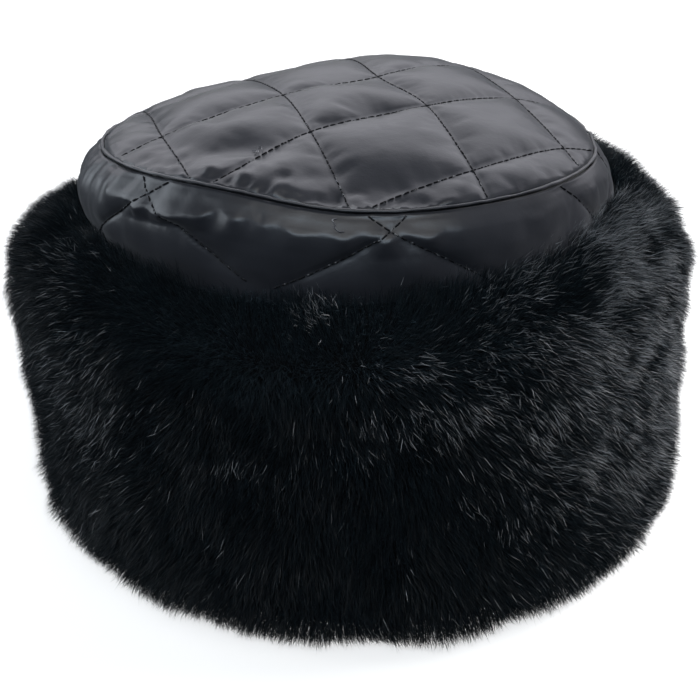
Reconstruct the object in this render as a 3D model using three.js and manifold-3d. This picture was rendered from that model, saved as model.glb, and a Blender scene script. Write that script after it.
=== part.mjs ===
// Winter pillbox hat: a quilted satin crown with a deep cuff of faux fur round it.
// Millimetres, +Z up. The hat stands on its cuff. The origin is on the surface that it
// stands on, under the middle of its footprint, and the front of the hat faces -Y.

import * as THREE from "three";
import { mergeVertices } from "three/addons/utils/BufferGeometryUtils.js";
import Module from "manifold-3d";

// Driving dimensions of the crown
const RIM_HALF_WIDTH = 90;
const RIM_HALF_DEPTH = 84;
const RIM_HEIGHT = 141;
const DOME_CENTRE_X = 16;
const DOME_CENTRE_Y = 7;
const DOME_BASE = 141.8;
const DOME_RISE = 14.6;
const DOME_POWER = 2.1;
const RIM_LEVEL_POWER = 1.5;
const PANEL_THICKNESS = 3;
const WALL_THICKNESS = 3.5;
const HEM_HEIGHT = 4;
const WELT_RADIUS = 1.4;

// Driving dimensions of the cuff
const CUFF_OUT_HIGH = 38.2;
const CUFF_OUT_LOW = 40.9;
const CUFF_CREST_HEIGHT = 117.5;
const LOCK_DEPTH = 7;
const CREST_DEPTH = 2;
const CREST_START = 0.84;

// Clearances between neighbouring pieces
const SEAM_GAP = 0.3;
const CUFF_GAP = 0.4;

// The welt's section is five-sided with a flat side down, over the slanted top of the wall
const WELT_SIDES = 5;
const WELT_TILT = 90;
const WELT_FOOT = WELT_RADIUS * Math.cos(Math.PI / WELT_SIDES);
const PANEL_INSET = 2 * WELT_RADIUS + SEAM_GAP;
const WALL_TOP_SLANT = 2.4;

// The crown's axis lies this far from the middle of the footprint
const AXIS_X = 1.5;
const AXIS_Y = 2.5;

// How far the soft rim strays from its ellipse, by angle in degrees from +X towards +Y
const RIM_SWAY = [
  { angle: 0, out: -1.2, up: -3.3 },
  { angle: 30, out: -0.8, up: -2.5 },
  { angle: 60, out: 0, up: 1.9 },
  { angle: 90, out: 0.3, up: 1.5 },
  { angle: 120, out: -0.9, up: -3.9 },
  { angle: 150, out: -0.5, up: -3.8 },
  { angle: 180, out: 2.4, up: -1.5 },
  { angle: 210, out: 1.7, up: 4.4 },
  { angle: 240, out: -2, up: 7.5 },
  { angle: 270, out: -1.4, up: 4.2 },
  { angle: 300, out: -0.8, up: 3.5 },
  { angle: 330, out: -0.9, up: 1 },
];

// How far the cuff strays from even, by angle: near its top, near its foot, and its crest
const CUFF_SWAY = [
  { angle: 0, high: 1.3, low: -2.5, crest: 1.9 },
  { angle: 30, high: 3.5, low: -1.5, crest: 4.6 },
  { angle: 60, high: 0.8, low: -0.1, crest: 1.5 },
  { angle: 90, high: -0.5, low: 0.2, crest: -2.8 },
  { angle: 120, high: -0.9, low: -0.1, crest: -6.5 },
  { angle: 150, high: 1.5, low: -1.1, crest: -9.5 },
  { angle: 180, high: 4.9, low: -6, crest: 0.5 },
  { angle: 210, high: -0.5, low: -0.7, crest: 3.6 },
  { angle: 240, high: 0.3, low: 3, crest: 1.8 },
  { angle: 270, high: -0.4, low: 5.3, crest: 0.6 },
  { angle: 300, high: -1.9, low: 4.1, crest: 0.4 },
  { angle: 330, high: -7.2, low: 1.9, crest: 1.4 },
];

// Outer side of the wall: distance outside the rim at each drop below the rim seam
const WALL_FLARE = [
  { drop: 1.4, out: -0.6 },
  { drop: 5, out: 3 },
  { drop: 12, out: 5 },
  { drop: 22, out: 6.3 },
  { drop: 140, out: 8 },
];

// Outer side of the cuff from its foot to its crest: height, distance inside the widest
// line, and the shares of the low, high and crest sway that count there
const CUFF_PROFILE = [
  { height: 0, inset: 16, low: 1, high: 0, lift: 0 },
  { height: 4, inset: 7, low: 1, high: 0, lift: 0 },
  { height: 12, inset: 1, low: 1, high: 0, lift: 0 },
  { height: 24, inset: 0, low: 1, high: 0, lift: 0 },
  { height: 57, inset: 0, low: 0.5, high: 0.5, lift: 0 },
  { height: 90, inset: 0, low: 0, high: 1, lift: 0.26 },
  { height: 101, inset: 3, low: 0, high: 1, lift: 0.58 },
  { height: 111, inset: 11, low: 0, high: 1, lift: 0.84 },
  { height: CUFF_CREST_HEIGHT - 1, inset: 22, low: 0, high: 1, lift: 1 },
  { height: CUFF_CREST_HEIGHT, inset: 33, low: 0, high: 1, lift: 1 },
];

// Quilting of the top panel: two sets of straight stitch lines, each at a bearing in plan
// and at these distances from the crown's axis
const TOP_QUILT = {
  bearingA: 36.5,
  bearingB: 107,
  linesA: [-109, -67, -24.5, 17.5, 60, 102],
  linesB: [-106, -62, -18, 25.5, 69.7, 114],
  cellSteps: 6,
  undersideSteps: 2,
  puff: 4,
  edgeFade: 13,
};

// Quilting of the wall: each stitch line's angle at the rim and at the fur line
const WALL_QUILT_RIGHT = [
  { rim: -135.6, foot: -110.5 },
  { rim: -87, foot: -69 },
  { rim: -41, foot: -25 },
  { rim: 12, foot: 32 },
  { rim: 65, foot: 85 },
  { rim: 118, foot: 138 },
  { rim: 171, foot: 191 },
];
const WALL_QUILT_LEFT = [
  { rim: -138, foot: -154 },
  { rim: -78, foot: -106 },
  { rim: -5, foot: -25 },
  { rim: 52, foot: 32 },
  { rim: 108, foot: 88 },
  { rim: 165, foot: 145 },
];
const WALL_PUFF = 3.4;
const WALL_GROOVE_WIDTH = 7;
const WALL_QUILT_DEPTH = 22;
const WALL_FREE_DEPTH = 28;

// Drops below the rim seam at which the wall has a row of corners
const WALL_DROPS = [WELT_FOOT + SEAM_GAP, 6, 11, 16, 21, 27];

// Rows of fur locks from the crest down. Place is along the profile, from 0 at its foot to
// 1 at its crest, and stand is how far the tips stand off the backing
const LOCK_ROWS = [
  { place: 0.94, count: 19, length: 27, width: 31, stand: 6 },
  { place: 0.83, count: 20, length: 31, width: 35, stand: 6.6 },
  { place: 0.72, count: 21, length: 33, width: 35, stand: 7 },
  { place: 0.6, count: 21, length: 34, width: 35, stand: 7 },
  { place: 0.48, count: 21, length: 34, width: 35, stand: 7 },
  { place: 0.36, count: 21, length: 34, width: 35, stand: 7 },
  { place: 0.24, count: 21, length: 29, width: 35, stand: 7 },
  { place: 0.13, count: 20, length: 18, width: 32, stand: 6 },
];

// Sections of one lock from root to tip: share of its length, share of its width, share of
// its stand-off, and how thick it is there
const LOCK_SECTIONS = [
  { along: 0, width: 0.5, rise: -0.2, body: 4 },
  { along: 0.55, width: 1, rise: 0.62, body: 6 },
  { along: 1, width: 0.16, rise: 1, body: 2.5 },
];
const LOCK_SCATTER = { length: 0.18, turn: 0.22, drift: 2.5, place: 0.025 };
const CUFF_PROFILE_LENGTH = 150;

// Places along the profile at which the backing has a row of corners
const BACKING_PLACES = [0, 0.05, 0.12, 0.22, 0.42, 0.62, 0.72, 0.8, 0.9, 1];

// Fineness of the rings, and how far the cutting blocks reach past what they cut
const RING_COLUMNS = 80;
const BACKING_COLUMNS = 32;
const EDGE_HALVINGS = 24;
const FULL_TURN = 360;
const BEYOND = 30;
const MERGE_LENGTH = 0.02;

const wasm = await Module();
wasm.setup();

const radians = THREE.MathUtils.degToRad;

// Smooth closed curve through a table whose rows are evenly spaced by angle
function swayAt(table, key, angle) {
  const step = FULL_TURN / table.length;
  const turn = THREE.MathUtils.euclideanModulo(angle, FULL_TURN) / step;
  const row = Math.floor(turn);
  const share = turn - row;
  const value = (offset) => table[(row + offset + table.length) % table.length][key];
  const [before, from, to, after] = [value(-1), value(0), value(1), value(2)];
  const bend = 2 * before - 5 * from + 4 * to - after + share * (3 * (from - to) + after - before);
  return from + 0.5 * share * (to - before + share * bend);
}

// Straight-line reading of a table ordered by its first key
function readTable(table, key, place, column) {
  const next = table.findIndex((row) => row[key] > place);
  if (next === 0) return table[0][column];
  if (next < 0) return table[table.length - 1][column];
  const [low, high] = [table[next - 1], table[next]];
  const share = (place - low[key]) / (high[key] - low[key]);
  return THREE.MathUtils.lerp(low[column], high[column], share);
}

// Point of a ring that is the rim's ellipse grown outwards
function ringPoint(angle, out, height) {
  const x = (RIM_HALF_WIDTH + out) * Math.cos(radians(angle));
  const y = (RIM_HALF_DEPTH + out) * Math.sin(radians(angle));
  return new THREE.Vector3(x, y, height);
}

function rimHeight(angle) {
  return RIM_HEIGHT + swayAt(RIM_SWAY, "up", angle);
}

function rimOut(angle) {
  return swayAt(RIM_SWAY, "out", angle);
}

// Repeatable scatter between -1 and 1 for lock number `index`
function scatter(index, kind) {
  const wave = Math.sin(index * 12.9898 + kind * 78.233) * 43758.5453;
  return 2 * (wave - Math.floor(wave)) - 1;
}

// Closed ring whose section is the same number of points at every angle
function ringGeometry(columns, section) {
  const positions = [];
  const indices = [];
  let points = 0;
  for (let column = 0; column < columns; column += 1) {
    const loop = section((column * FULL_TURN) / columns);
    points = loop.length;
    loop.forEach((point) => positions.push(point.x, point.y, point.z));
  }
  for (let column = 0; column < columns; column += 1) {
    const next = (column + 1) % columns;
    for (let point = 0; point < points; point += 1) {
      const after = (point + 1) % points;
      const [a, b] = [column * points + point, next * points + point];
      const [c, d] = [next * points + after, column * points + after];
      indices.push(a, b, c, a, c, d);
    }
  }
  return geometryOf(positions, indices);
}

function geometryOf(positions, indices) {
  const geometry = new THREE.BufferGeometry();
  geometry.setAttribute("position", new THREE.Float32BufferAttribute(positions, 3));
  geometry.setIndex(indices);
  return geometry;
}

// Closed stack of matching loops, with a flat fan at the bottom and the top
function stackGeometry(loops) {
  const sides = loops[0].length;
  const positions = [];
  const indices = [];
  loops.flat().forEach((point) => positions.push(point.x, point.y, point.z));
  for (let level = 0; level < loops.length - 1; level += 1) {
    for (let side = 0; side < sides; side += 1) {
      const next = (side + 1) % sides;
      const [a, b] = [level * sides + side, level * sides + next];
      indices.push(a, b, b + sides, a, b + sides, a + sides);
    }
  }
  const top = (loops.length - 1) * sides;
  for (let side = 1; side < sides - 1; side += 1) {
    indices.push(0, side + 1, side);
    indices.push(top, top + side, top + side + 1);
  }
  return geometryOf(positions, indices);
}

function solidOf(geometry) {
  const plain = geometry.clone();
  plain.deleteAttribute("normal");
  plain.deleteAttribute("uv");
  const merged = mergeVertices(plain);
  const mesh = new wasm.Mesh({
    numProp: 3,
    vertProperties: new Float32Array(merged.attributes.position.array),
    triVerts: new Uint32Array(merged.index.array),
  });
  return new wasm.Manifold(mesh);
}

// Mesh of a finished solid, with slivers shorter than MERGE_LENGTH closed up
function geometryOfSolid(solid) {
  const mesh = solid.getMesh();
  const raw = geometryOf(Array.from(mesh.vertProperties), Array.from(mesh.triVerts));
  const merged = mergeVertices(raw, MERGE_LENGTH);
  const corners = Array.from(merged.index.array);
  const kept = [];
  for (let i = 0; i < corners.length; i += 3) {
    const [a, b, c] = corners.slice(i, i + 3);
    if (a !== b && b !== c && c !== a) kept.push(a, b, c);
  }
  merged.setIndex(kept);
  return merged;
}

// Unit vector in plan across the stitch lines that run at `bearing`
function acrossLines(bearing) {
  return new THREE.Vector2(-Math.sin(radians(bearing)), Math.cos(radians(bearing)));
}

// Plan point at distance `a` across the A lines and `b` across the B lines
function quiltPoint(a, b) {
  const na = acrossLines(TOP_QUILT.bearingA);
  const nb = acrossLines(TOP_QUILT.bearingB);
  const scale = na.x * nb.y - na.y * nb.x;
  return new THREE.Vector2((a * nb.y - b * na.y) / scale, (na.x * b - nb.x * a) / scale);
}

// Share of the way from the dome's centre to the rim, and the rim's height on that way
function domePlace(x, y) {
  const bearing = Math.atan2(y - DOME_CENTRE_Y, x - DOME_CENTRE_X);
  const along = new THREE.Vector2(Math.cos(bearing), Math.sin(bearing));
  let [near, far] = [0, 2 * RIM_HALF_WIDTH];
  let edgeAngle = 0;
  for (let halving = 0; halving < EDGE_HALVINGS; halving += 1) {
    const middle = (near + far) / 2;
    const px = DOME_CENTRE_X + along.x * middle;
    const py = DOME_CENTRE_Y + along.y * middle;
    edgeAngle = THREE.MathUtils.radToDeg(Math.atan2(py / RIM_HALF_DEPTH, px / RIM_HALF_WIDTH));
    const edge = ringPoint(edgeAngle, rimOut(edgeAngle), 0);
    if (Math.hypot(px, py) < Math.hypot(edge.x, edge.y)) near = middle;
    else far = middle;
  }
  const share = Math.hypot(x - DOME_CENTRE_X, y - DOME_CENTRE_Y) / near;
  return { share, edgeHeight: rimHeight(edgeAngle), inside: near * (1 - share) };
}

// Height of the plain dome, before it is quilted
function domeHeight(x, y) {
  const { share, edgeHeight } = domePlace(x, y);
  const level = DOME_BASE + (edgeHeight - DOME_BASE) * share ** RIM_LEVEL_POWER;
  return level + DOME_RISE * (1 - share ** DOME_POWER);
}

// Height of the padding over a quilted cell, at shares s and t of the way across it
function puffHeight(s, t) {
  const full = 4 * s * (1 - s) * 4 * t * (1 - t);
  return TOP_QUILT.puff * Math.sqrt(Math.max(0, full));
}

// Block with a flat bottom whose top follows `heightAt` over the quilting's own grid
function quiltBlock(steps, bottom, heightAt) {
  const { linesA, linesB } = TOP_QUILT;
  const across = (lines, place) => {
    const cell = Math.min(Math.floor(place / steps), lines.length - 2);
    const share = place / steps - cell;
    return { value: THREE.MathUtils.lerp(lines[cell], lines[cell + 1], share), share };
  };
  const side = (linesA.length - 1) * steps + 1;
  const positions = [];
  const indices = [];
  for (let i = 0; i < side; i += 1) {
    for (let j = 0; j < side; j += 1) {
      const a = across(linesA, i);
      const b = across(linesB, j);
      const point = quiltPoint(a.value, b.value);
      positions.push(point.x, point.y, heightAt(point.x, point.y, a.share, b.share));
      positions.push(point.x, point.y, bottom);
    }
  }
  const upper = (i, j) => 2 * (i * side + j);
  const quad = (a, b, c, d) => indices.push(a, c, b, a, d, c);
  for (let i = 0; i < side - 1; i += 1) {
    for (let j = 0; j < side - 1; j += 1) {
      const [a, b, c, d] = [upper(i, j), upper(i, j + 1), upper(i + 1, j + 1), upper(i + 1, j)];
      quad(a, b, c, d);
      quad(a + 1, d + 1, c + 1, b + 1);
    }
  }
  const last = side - 1;
  for (let k = 0; k < last; k += 1) {
    quad(upper(k, 0), upper(k + 1, 0), upper(k + 1, 0) + 1, upper(k, 0) + 1);
    quad(upper(k + 1, last), upper(k, last), upper(k, last) + 1, upper(k + 1, last) + 1);
    quad(upper(0, k + 1), upper(0, k), upper(0, k) + 1, upper(0, k + 1) + 1);
    quad(upper(last, k), upper(last, k + 1), upper(last, k + 1) + 1, upper(last, k) + 1);
  }
  return solidOf(geometryOf(positions, indices));
}

// Upright plug with the rim's outline, moved in or out
function rimPlug(out, bottom, top) {
  const loop = (height) => {
    const points = [];
    for (let column = 0; column < RING_COLUMNS; column += 1) {
      const angle = (column * FULL_TURN) / RING_COLUMNS;
      points.push(ringPoint(angle, rimOut(angle) + out, height));
    }
    return points;
  };
  return solidOf(stackGeometry([loop(bottom), loop(top)]));
}

function crownTopGeometry() {
  const bottom = RIM_HEIGHT - BEYOND;
  const outer = quiltBlock(TOP_QUILT.cellSteps, bottom, (x, y, s, t) => {
    const inside = Math.max(0, domePlace(x, y).inside);
    const fade = Math.min(1, inside / TOP_QUILT.edgeFade);
    return domeHeight(x, y) + puffHeight(s, t) * fade;
  });
  const underside = (x, y) => domeHeight(x, y) - PANEL_THICKNESS;
  const inner = quiltBlock(TOP_QUILT.undersideSteps, bottom - 1, underside);
  const plug = rimPlug(-PANEL_INSET, bottom - 2, RIM_HEIGHT + BEYOND);
  return geometryOfSolid(outer.subtract(inner).intersect(plug));
}

// Distance in millimetres round the wall to the nearest line of one quilting set
function lineDistance(lines, angle, drop) {
  const share = drop / WALL_QUILT_DEPTH;
  const perDegree = radians(RIM_HALF_WIDTH);
  const gaps = lines.map((line) => {
    const place = line.rim + (line.foot - line.rim) * share;
    const turn = THREE.MathUtils.euclideanModulo(angle - place + 180, FULL_TURN) - 180;
    return Math.abs(turn) * perDegree;
  });
  return Math.min(...gaps);
}

// Padding of the wall, which is pressed flat at the rim seam and under the cuff
function wallPuff(angle, drop) {
  const right = 1 - Math.exp(-lineDistance(WALL_QUILT_RIGHT, angle, drop) / WALL_GROOVE_WIDTH);
  const left = 1 - Math.exp(-lineDistance(WALL_QUILT_LEFT, angle, drop) / WALL_GROOVE_WIDTH);
  const free = drop < WALL_FREE_DEPTH ? Math.sin((Math.PI * drop) / WALL_FREE_DEPTH) : 0;
  return WALL_PUFF * right * left * free;
}

// Outer side of the wall from the rim seam down to the hem
function wallOutside(angle, extra) {
  const rim = rimHeight(angle);
  const drops = WALL_DROPS.concat([rim - HEM_HEIGHT]);
  return drops.map((drop) => {
    const out = readTable(WALL_FLARE, "drop", drop, "out") + wallPuff(angle, drop);
    return ringPoint(angle, rimOut(angle) + out + extra, rim - drop);
  });
}

function crownSideGeometry() {
  return ringGeometry(RING_COLUMNS, (angle) => {
    const rim = rimHeight(angle);
    const out = rimOut(angle);
    const outside = wallOutside(angle, 0);
    const flare = (drop) => out + readTable(WALL_FLARE, "drop", drop, "out") - WALL_THICKNESS;
    const innerTop = WALL_DROPS[0] + WALL_TOP_SLANT;
    const innerDrops = [rim - HEM_HEIGHT, WALL_QUILT_DEPTH, innerTop];
    const inside = innerDrops.map((drop) => ringPoint(angle, flare(drop), rim - drop));
    return outside.concat(inside).reverse();
  });
}

function rimWeltGeometry() {
  return ringGeometry(RING_COLUMNS, (angle) => {
    const loop = [];
    for (let side = 0; side < WELT_SIDES; side += 1) {
      const turn = radians(WELT_TILT + (side * FULL_TURN) / WELT_SIDES);
      const out = rimOut(angle) - WELT_RADIUS + WELT_RADIUS * Math.cos(turn);
      loop.push(ringPoint(angle, out, rimHeight(angle) + WELT_RADIUS * Math.sin(turn)));
    }
    return loop;
  });
}

// Point of the cuff's outer side at row `place` of its profile, moved in by `inset`
function cuffRow(row, angle) {
  const out =
    row.low * (CUFF_OUT_LOW + swayAt(CUFF_SWAY, "low", angle)) +
    row.high * (CUFF_OUT_HIGH + swayAt(CUFF_SWAY, "high", angle));
  const height = row.height + row.lift * swayAt(CUFF_SWAY, "crest", angle);
  return { out: out - row.inset, height };
}

// Outer side of the cuff as a curve of (out, height) at one angle
function cuffCurve(angle) {
  const points = CUFF_PROFILE.map((row) => {
    const { out, height } = cuffRow(row, angle);
    return new THREE.Vector2(out, height);
  });
  return new THREE.SplineCurve(points);
}

// Point on the cuff's outer side at `place`, moved in by `depth` along its normal
function cuffPoint(angle, place, depth) {
  const curve = cuffCurve(angle);
  const share = THREE.MathUtils.clamp(place, 0, 1);
  const point = curve.getPointAt(share);
  const along = curve.getTangentAt(share);
  return ringPoint(angle, point.x - along.y * depth, point.y + along.x * depth);
}

// Stack of whole turns: `loopAt` gives the point of one loop at one angle
function turnedStack(columns, rows, loopAt) {
  const loops = rows.map((row) => {
    const points = [];
    for (let column = 0; column < columns; column += 1) {
      points.push(loopAt(row, (column * FULL_TURN) / columns));
    }
    return points;
  });
  return solidOf(stackGeometry(loops));
}

// Depth of the backing under the tips of the fur, which thins out towards the wall
function backingDepth(place) {
  const share = THREE.MathUtils.clamp((place - CREST_START) / (1 - CREST_START), 0, 1);
  return THREE.MathUtils.lerp(LOCK_DEPTH, CREST_DEPTH, share);
}

// Full body that the locks stand on, before the crown's room is cut out of it
function cuffBacking() {
  return turnedStack(BACKING_COLUMNS, BACKING_PLACES, (place, angle) => {
    const point = cuffPoint(angle, place, backingDepth(place));
    if (place > 0) return point;
    const { out } = cuffRow(CUFF_PROFILE[0], angle);
    return ringPoint(angle, out - LOCK_DEPTH, 0);
  });
}

// Room that the crown takes inside the cuff
function crownRoom() {
  const count = WALL_DROPS.length + 1;
  const rows = [-1].concat([...Array(count).keys()].reverse(), [count]);
  return turnedStack(RING_COLUMNS, rows, (row, angle) => {
    const outside = wallOutside(angle, CUFF_GAP);
    if (row < 0) return outside[count - 1].setZ(-BEYOND);
    if (row === count) return outside[0].setZ(RIM_HEIGHT + BEYOND);
    return outside[row];
  });
}

// One lock: a three-sided tongue that rises out of the backing and ends in a narrow tip
function lockSolid(row, index, shift, number) {
  const length = row.length * (1 + LOCK_SCATTER.length * scatter(number, 1));
  const turn = (index + shift + LOCK_SCATTER.turn * scatter(number, 2)) / row.count;
  const drift = LOCK_SCATTER.drift * scatter(number, 3);
  const start = row.place + LOCK_SCATTER.place * scatter(number, 4);
  const perDegree = radians(RIM_HALF_WIDTH + CUFF_OUT_HIGH);
  const loops = LOCK_SECTIONS.map((section) => {
    const place = start - (section.along * length) / CUFF_PROFILE_LENGTH;
    const angle = turn * FULL_TURN + drift * section.along;
    const half = (section.width * row.width) / 2 / perDegree;
    const depth = backingDepth(place) - section.rise * row.stand;
    return [
      cuffPoint(angle + half, place, depth + section.body),
      cuffPoint(angle, place, depth),
      cuffPoint(angle - half, place, depth + section.body),
    ];
  });
  return solidOf(stackGeometry(loops));
}

function furCuffGeometry() {
  const locks = [];
  LOCK_ROWS.forEach((row, level) => {
    const shift = level % 2 ? 0.5 : 0;
    for (let index = 0; index < row.count; index += 1) {
      locks.push(lockSolid(row, index, shift, locks.length));
    }
  });
  const block = 4 * (RIM_HALF_WIDTH + CUFF_OUT_LOW);
  const ground = new THREE.BoxGeometry(block, block, BEYOND).translate(0, 0, -BEYOND / 2);
  const fur = wasm.Manifold.union([cuffBacking()].concat(locks));
  return geometryOfSolid(fur.subtract(crownRoom()).subtract(solidOf(ground)));
}

function piece(name, geometry, look) {
  const mesh = new THREE.Mesh(geometry, new THREE.MeshStandardMaterial(look));
  mesh.name = name;
  return mesh;
}

const SATIN = { color: 0x35373c, roughness: 0.45, metalness: 0 };
const WELT_SATIN = { color: 0x2c2e33, roughness: 0.5, metalness: 0 };
const FUR = { color: 0x0b0d10, roughness: 0.8, metalness: 0 };

const hat = new THREE.Group();
hat.position.set(AXIS_X, AXIS_Y, 0);
hat.add(piece("crown_top", crownTopGeometry(), SATIN));
hat.add(piece("crown_side", crownSideGeometry(), SATIN));
hat.add(piece("rim_welt", rimWeltGeometry(), WELT_SATIN));
hat.add(piece("fur_cuff", furCuffGeometry(), FUR));

export default hat;
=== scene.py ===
"""Winter pillbox hat: a quilted satin crown with a deep cuff of faux fur, standing on its cuff.

The hat's forms are worked out in millimetres and made into meshes in metres, in the frame that
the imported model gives: +Z up, the origin on the floor under the middle of the cuff's footprint,
and the front of the hat towards -Y. Angles are in degrees from +X towards +Y round the crown's
axis, and a drop is a distance below the rim seam.
"""

import logging
import math
from dataclasses import dataclass, field
from enum import Enum
from typing import Sequence

import bpy
import numpy as np
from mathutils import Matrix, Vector, kdtree
from mathutils.bvhtree import BVHTree


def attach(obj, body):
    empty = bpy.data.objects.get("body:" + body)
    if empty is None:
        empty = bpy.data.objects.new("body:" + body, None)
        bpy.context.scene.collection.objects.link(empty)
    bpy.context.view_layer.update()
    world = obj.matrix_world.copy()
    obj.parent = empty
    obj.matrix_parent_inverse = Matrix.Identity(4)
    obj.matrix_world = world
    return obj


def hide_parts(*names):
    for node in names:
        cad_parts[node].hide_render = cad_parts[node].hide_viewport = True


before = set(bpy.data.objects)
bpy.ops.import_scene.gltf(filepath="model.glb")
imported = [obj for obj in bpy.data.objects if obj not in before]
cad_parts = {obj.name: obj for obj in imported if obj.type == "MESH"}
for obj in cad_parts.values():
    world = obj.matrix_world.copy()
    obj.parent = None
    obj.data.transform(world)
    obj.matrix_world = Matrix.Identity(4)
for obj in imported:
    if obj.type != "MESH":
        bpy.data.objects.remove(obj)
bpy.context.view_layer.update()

MM = 0.001
FULL_TURN = 360.0
HALF_TURN = 180.0
BODY = "root"

# What stands for a length of nothing where one is divided by
LEAST_LENGTH = 1e-12

# How far in front of a line and behind it the cloth under it is looked for, in millimetres
LAY_REACH = 7.0

# Knots of the loose threads, in millimetres, near the cloth that they are then laid on
SNAG_KNOTS = (
    (-4.2, -84, 144.6), (-5.7, -84, 144.3), (-4.5, -84, 142.7), (-5.2, -84, 142),
    (-3.4, -84, 140.6), (-1.9, -84, 140.7))
LINT_KNOTS = (
    (-32.4, -44.8, 152), (-30.8, -45.4, 152), (-31.6, -48, 152), (-30.2, -47.2, 152),
    (-30.6, -43.2, 152), (-29.4, -43.6, 152), (-29, -46.4, 152))

# Steps that spread any number of places evenly: one over the plastic number, and over its square
EVEN_STEPS = (0.7548776662466927, 0.5698402909980532)

Array = np.ndarray
Colour = tuple[float, float, float]

log = logging.getLogger("pillbox_hat")


class Slot(Enum):
    """The record's material slots."""

    SATIN = "quilted_satin"
    WELT = "welt_satin"
    FUR = "faux_fur"


def unit(vectors: Array) -> Array:
    """Scales vectors to length one.

    Args:
        vectors: rows of vectors.

    Returns:
        The rows, each of length one.
    """
    length = np.linalg.norm(vectors, axis=-1, keepdims=True)
    return vectors / np.maximum(length, LEAST_LENGTH)


def periodic_curve(values: Sequence[float], angle: Array) -> Array:
    """Reads a smooth closed curve through values that are evenly spaced round the hat.

    Args:
        values: the values at 0 degrees, one step, two steps and so on.
        angle: the angles to read at.

    Returns:
        The curve's value at each angle.
    """
    table = np.asarray(values, float)
    turn = np.mod(angle, FULL_TURN) / (FULL_TURN / len(table))
    row = np.floor(turn).astype(int)
    share = turn - row
    before, start, end, after = (table[(row + k) % len(table)] for k in (-1, 0, 1, 2))
    bend = 2 * before - 5 * start + 4 * end - after + share * (3 * (start - end) + after - before)
    return start + 0.5 * share * (end - before + share * bend)


def turn_from(start: float | Array, angle: Array) -> Array:
    """Gives the shortest turn from one angle to another, in degrees, negative when it is clockwise."""
    return np.mod(angle - start + HALF_TURN, FULL_TURN) - HALF_TURN


class Ripple:
    """Smooth, repeatable unevenness in space: a sum of waves in many directions."""

    def __init__(self, wavelength: float, seed: int, waves: int = 28, spread: float = 0.35) -> None:
        """Draws the waves.

        Args:
            wavelength: the mean length of the waves, in millimetres.
            seed: what the draw is repeated from.
            waves: how many waves are summed.
            spread: how far the waves' lengths stray from the mean, as a share of it.
        """
        draw = np.random.default_rng(seed)
        heading = unit(draw.normal(size=(waves, 3)))
        length = wavelength * np.exp(spread * draw.normal(size=(waves, 1)))
        self.wave = heading * (2 * math.pi / length)
        self.phase = draw.uniform(0, 2 * math.pi, waves)
        self.scale = math.sqrt(2.0 / waves)

    def at(self, points: Array) -> Array:
        """Reads the ripple.

        Args:
            points: rows of places, in millimetres.

        Returns:
            One value a place, mostly between -2 and 2, with a mean square of one.
        """
        return np.cos(points @ self.wave.T + self.phase).sum(axis=-1) * self.scale


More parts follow.
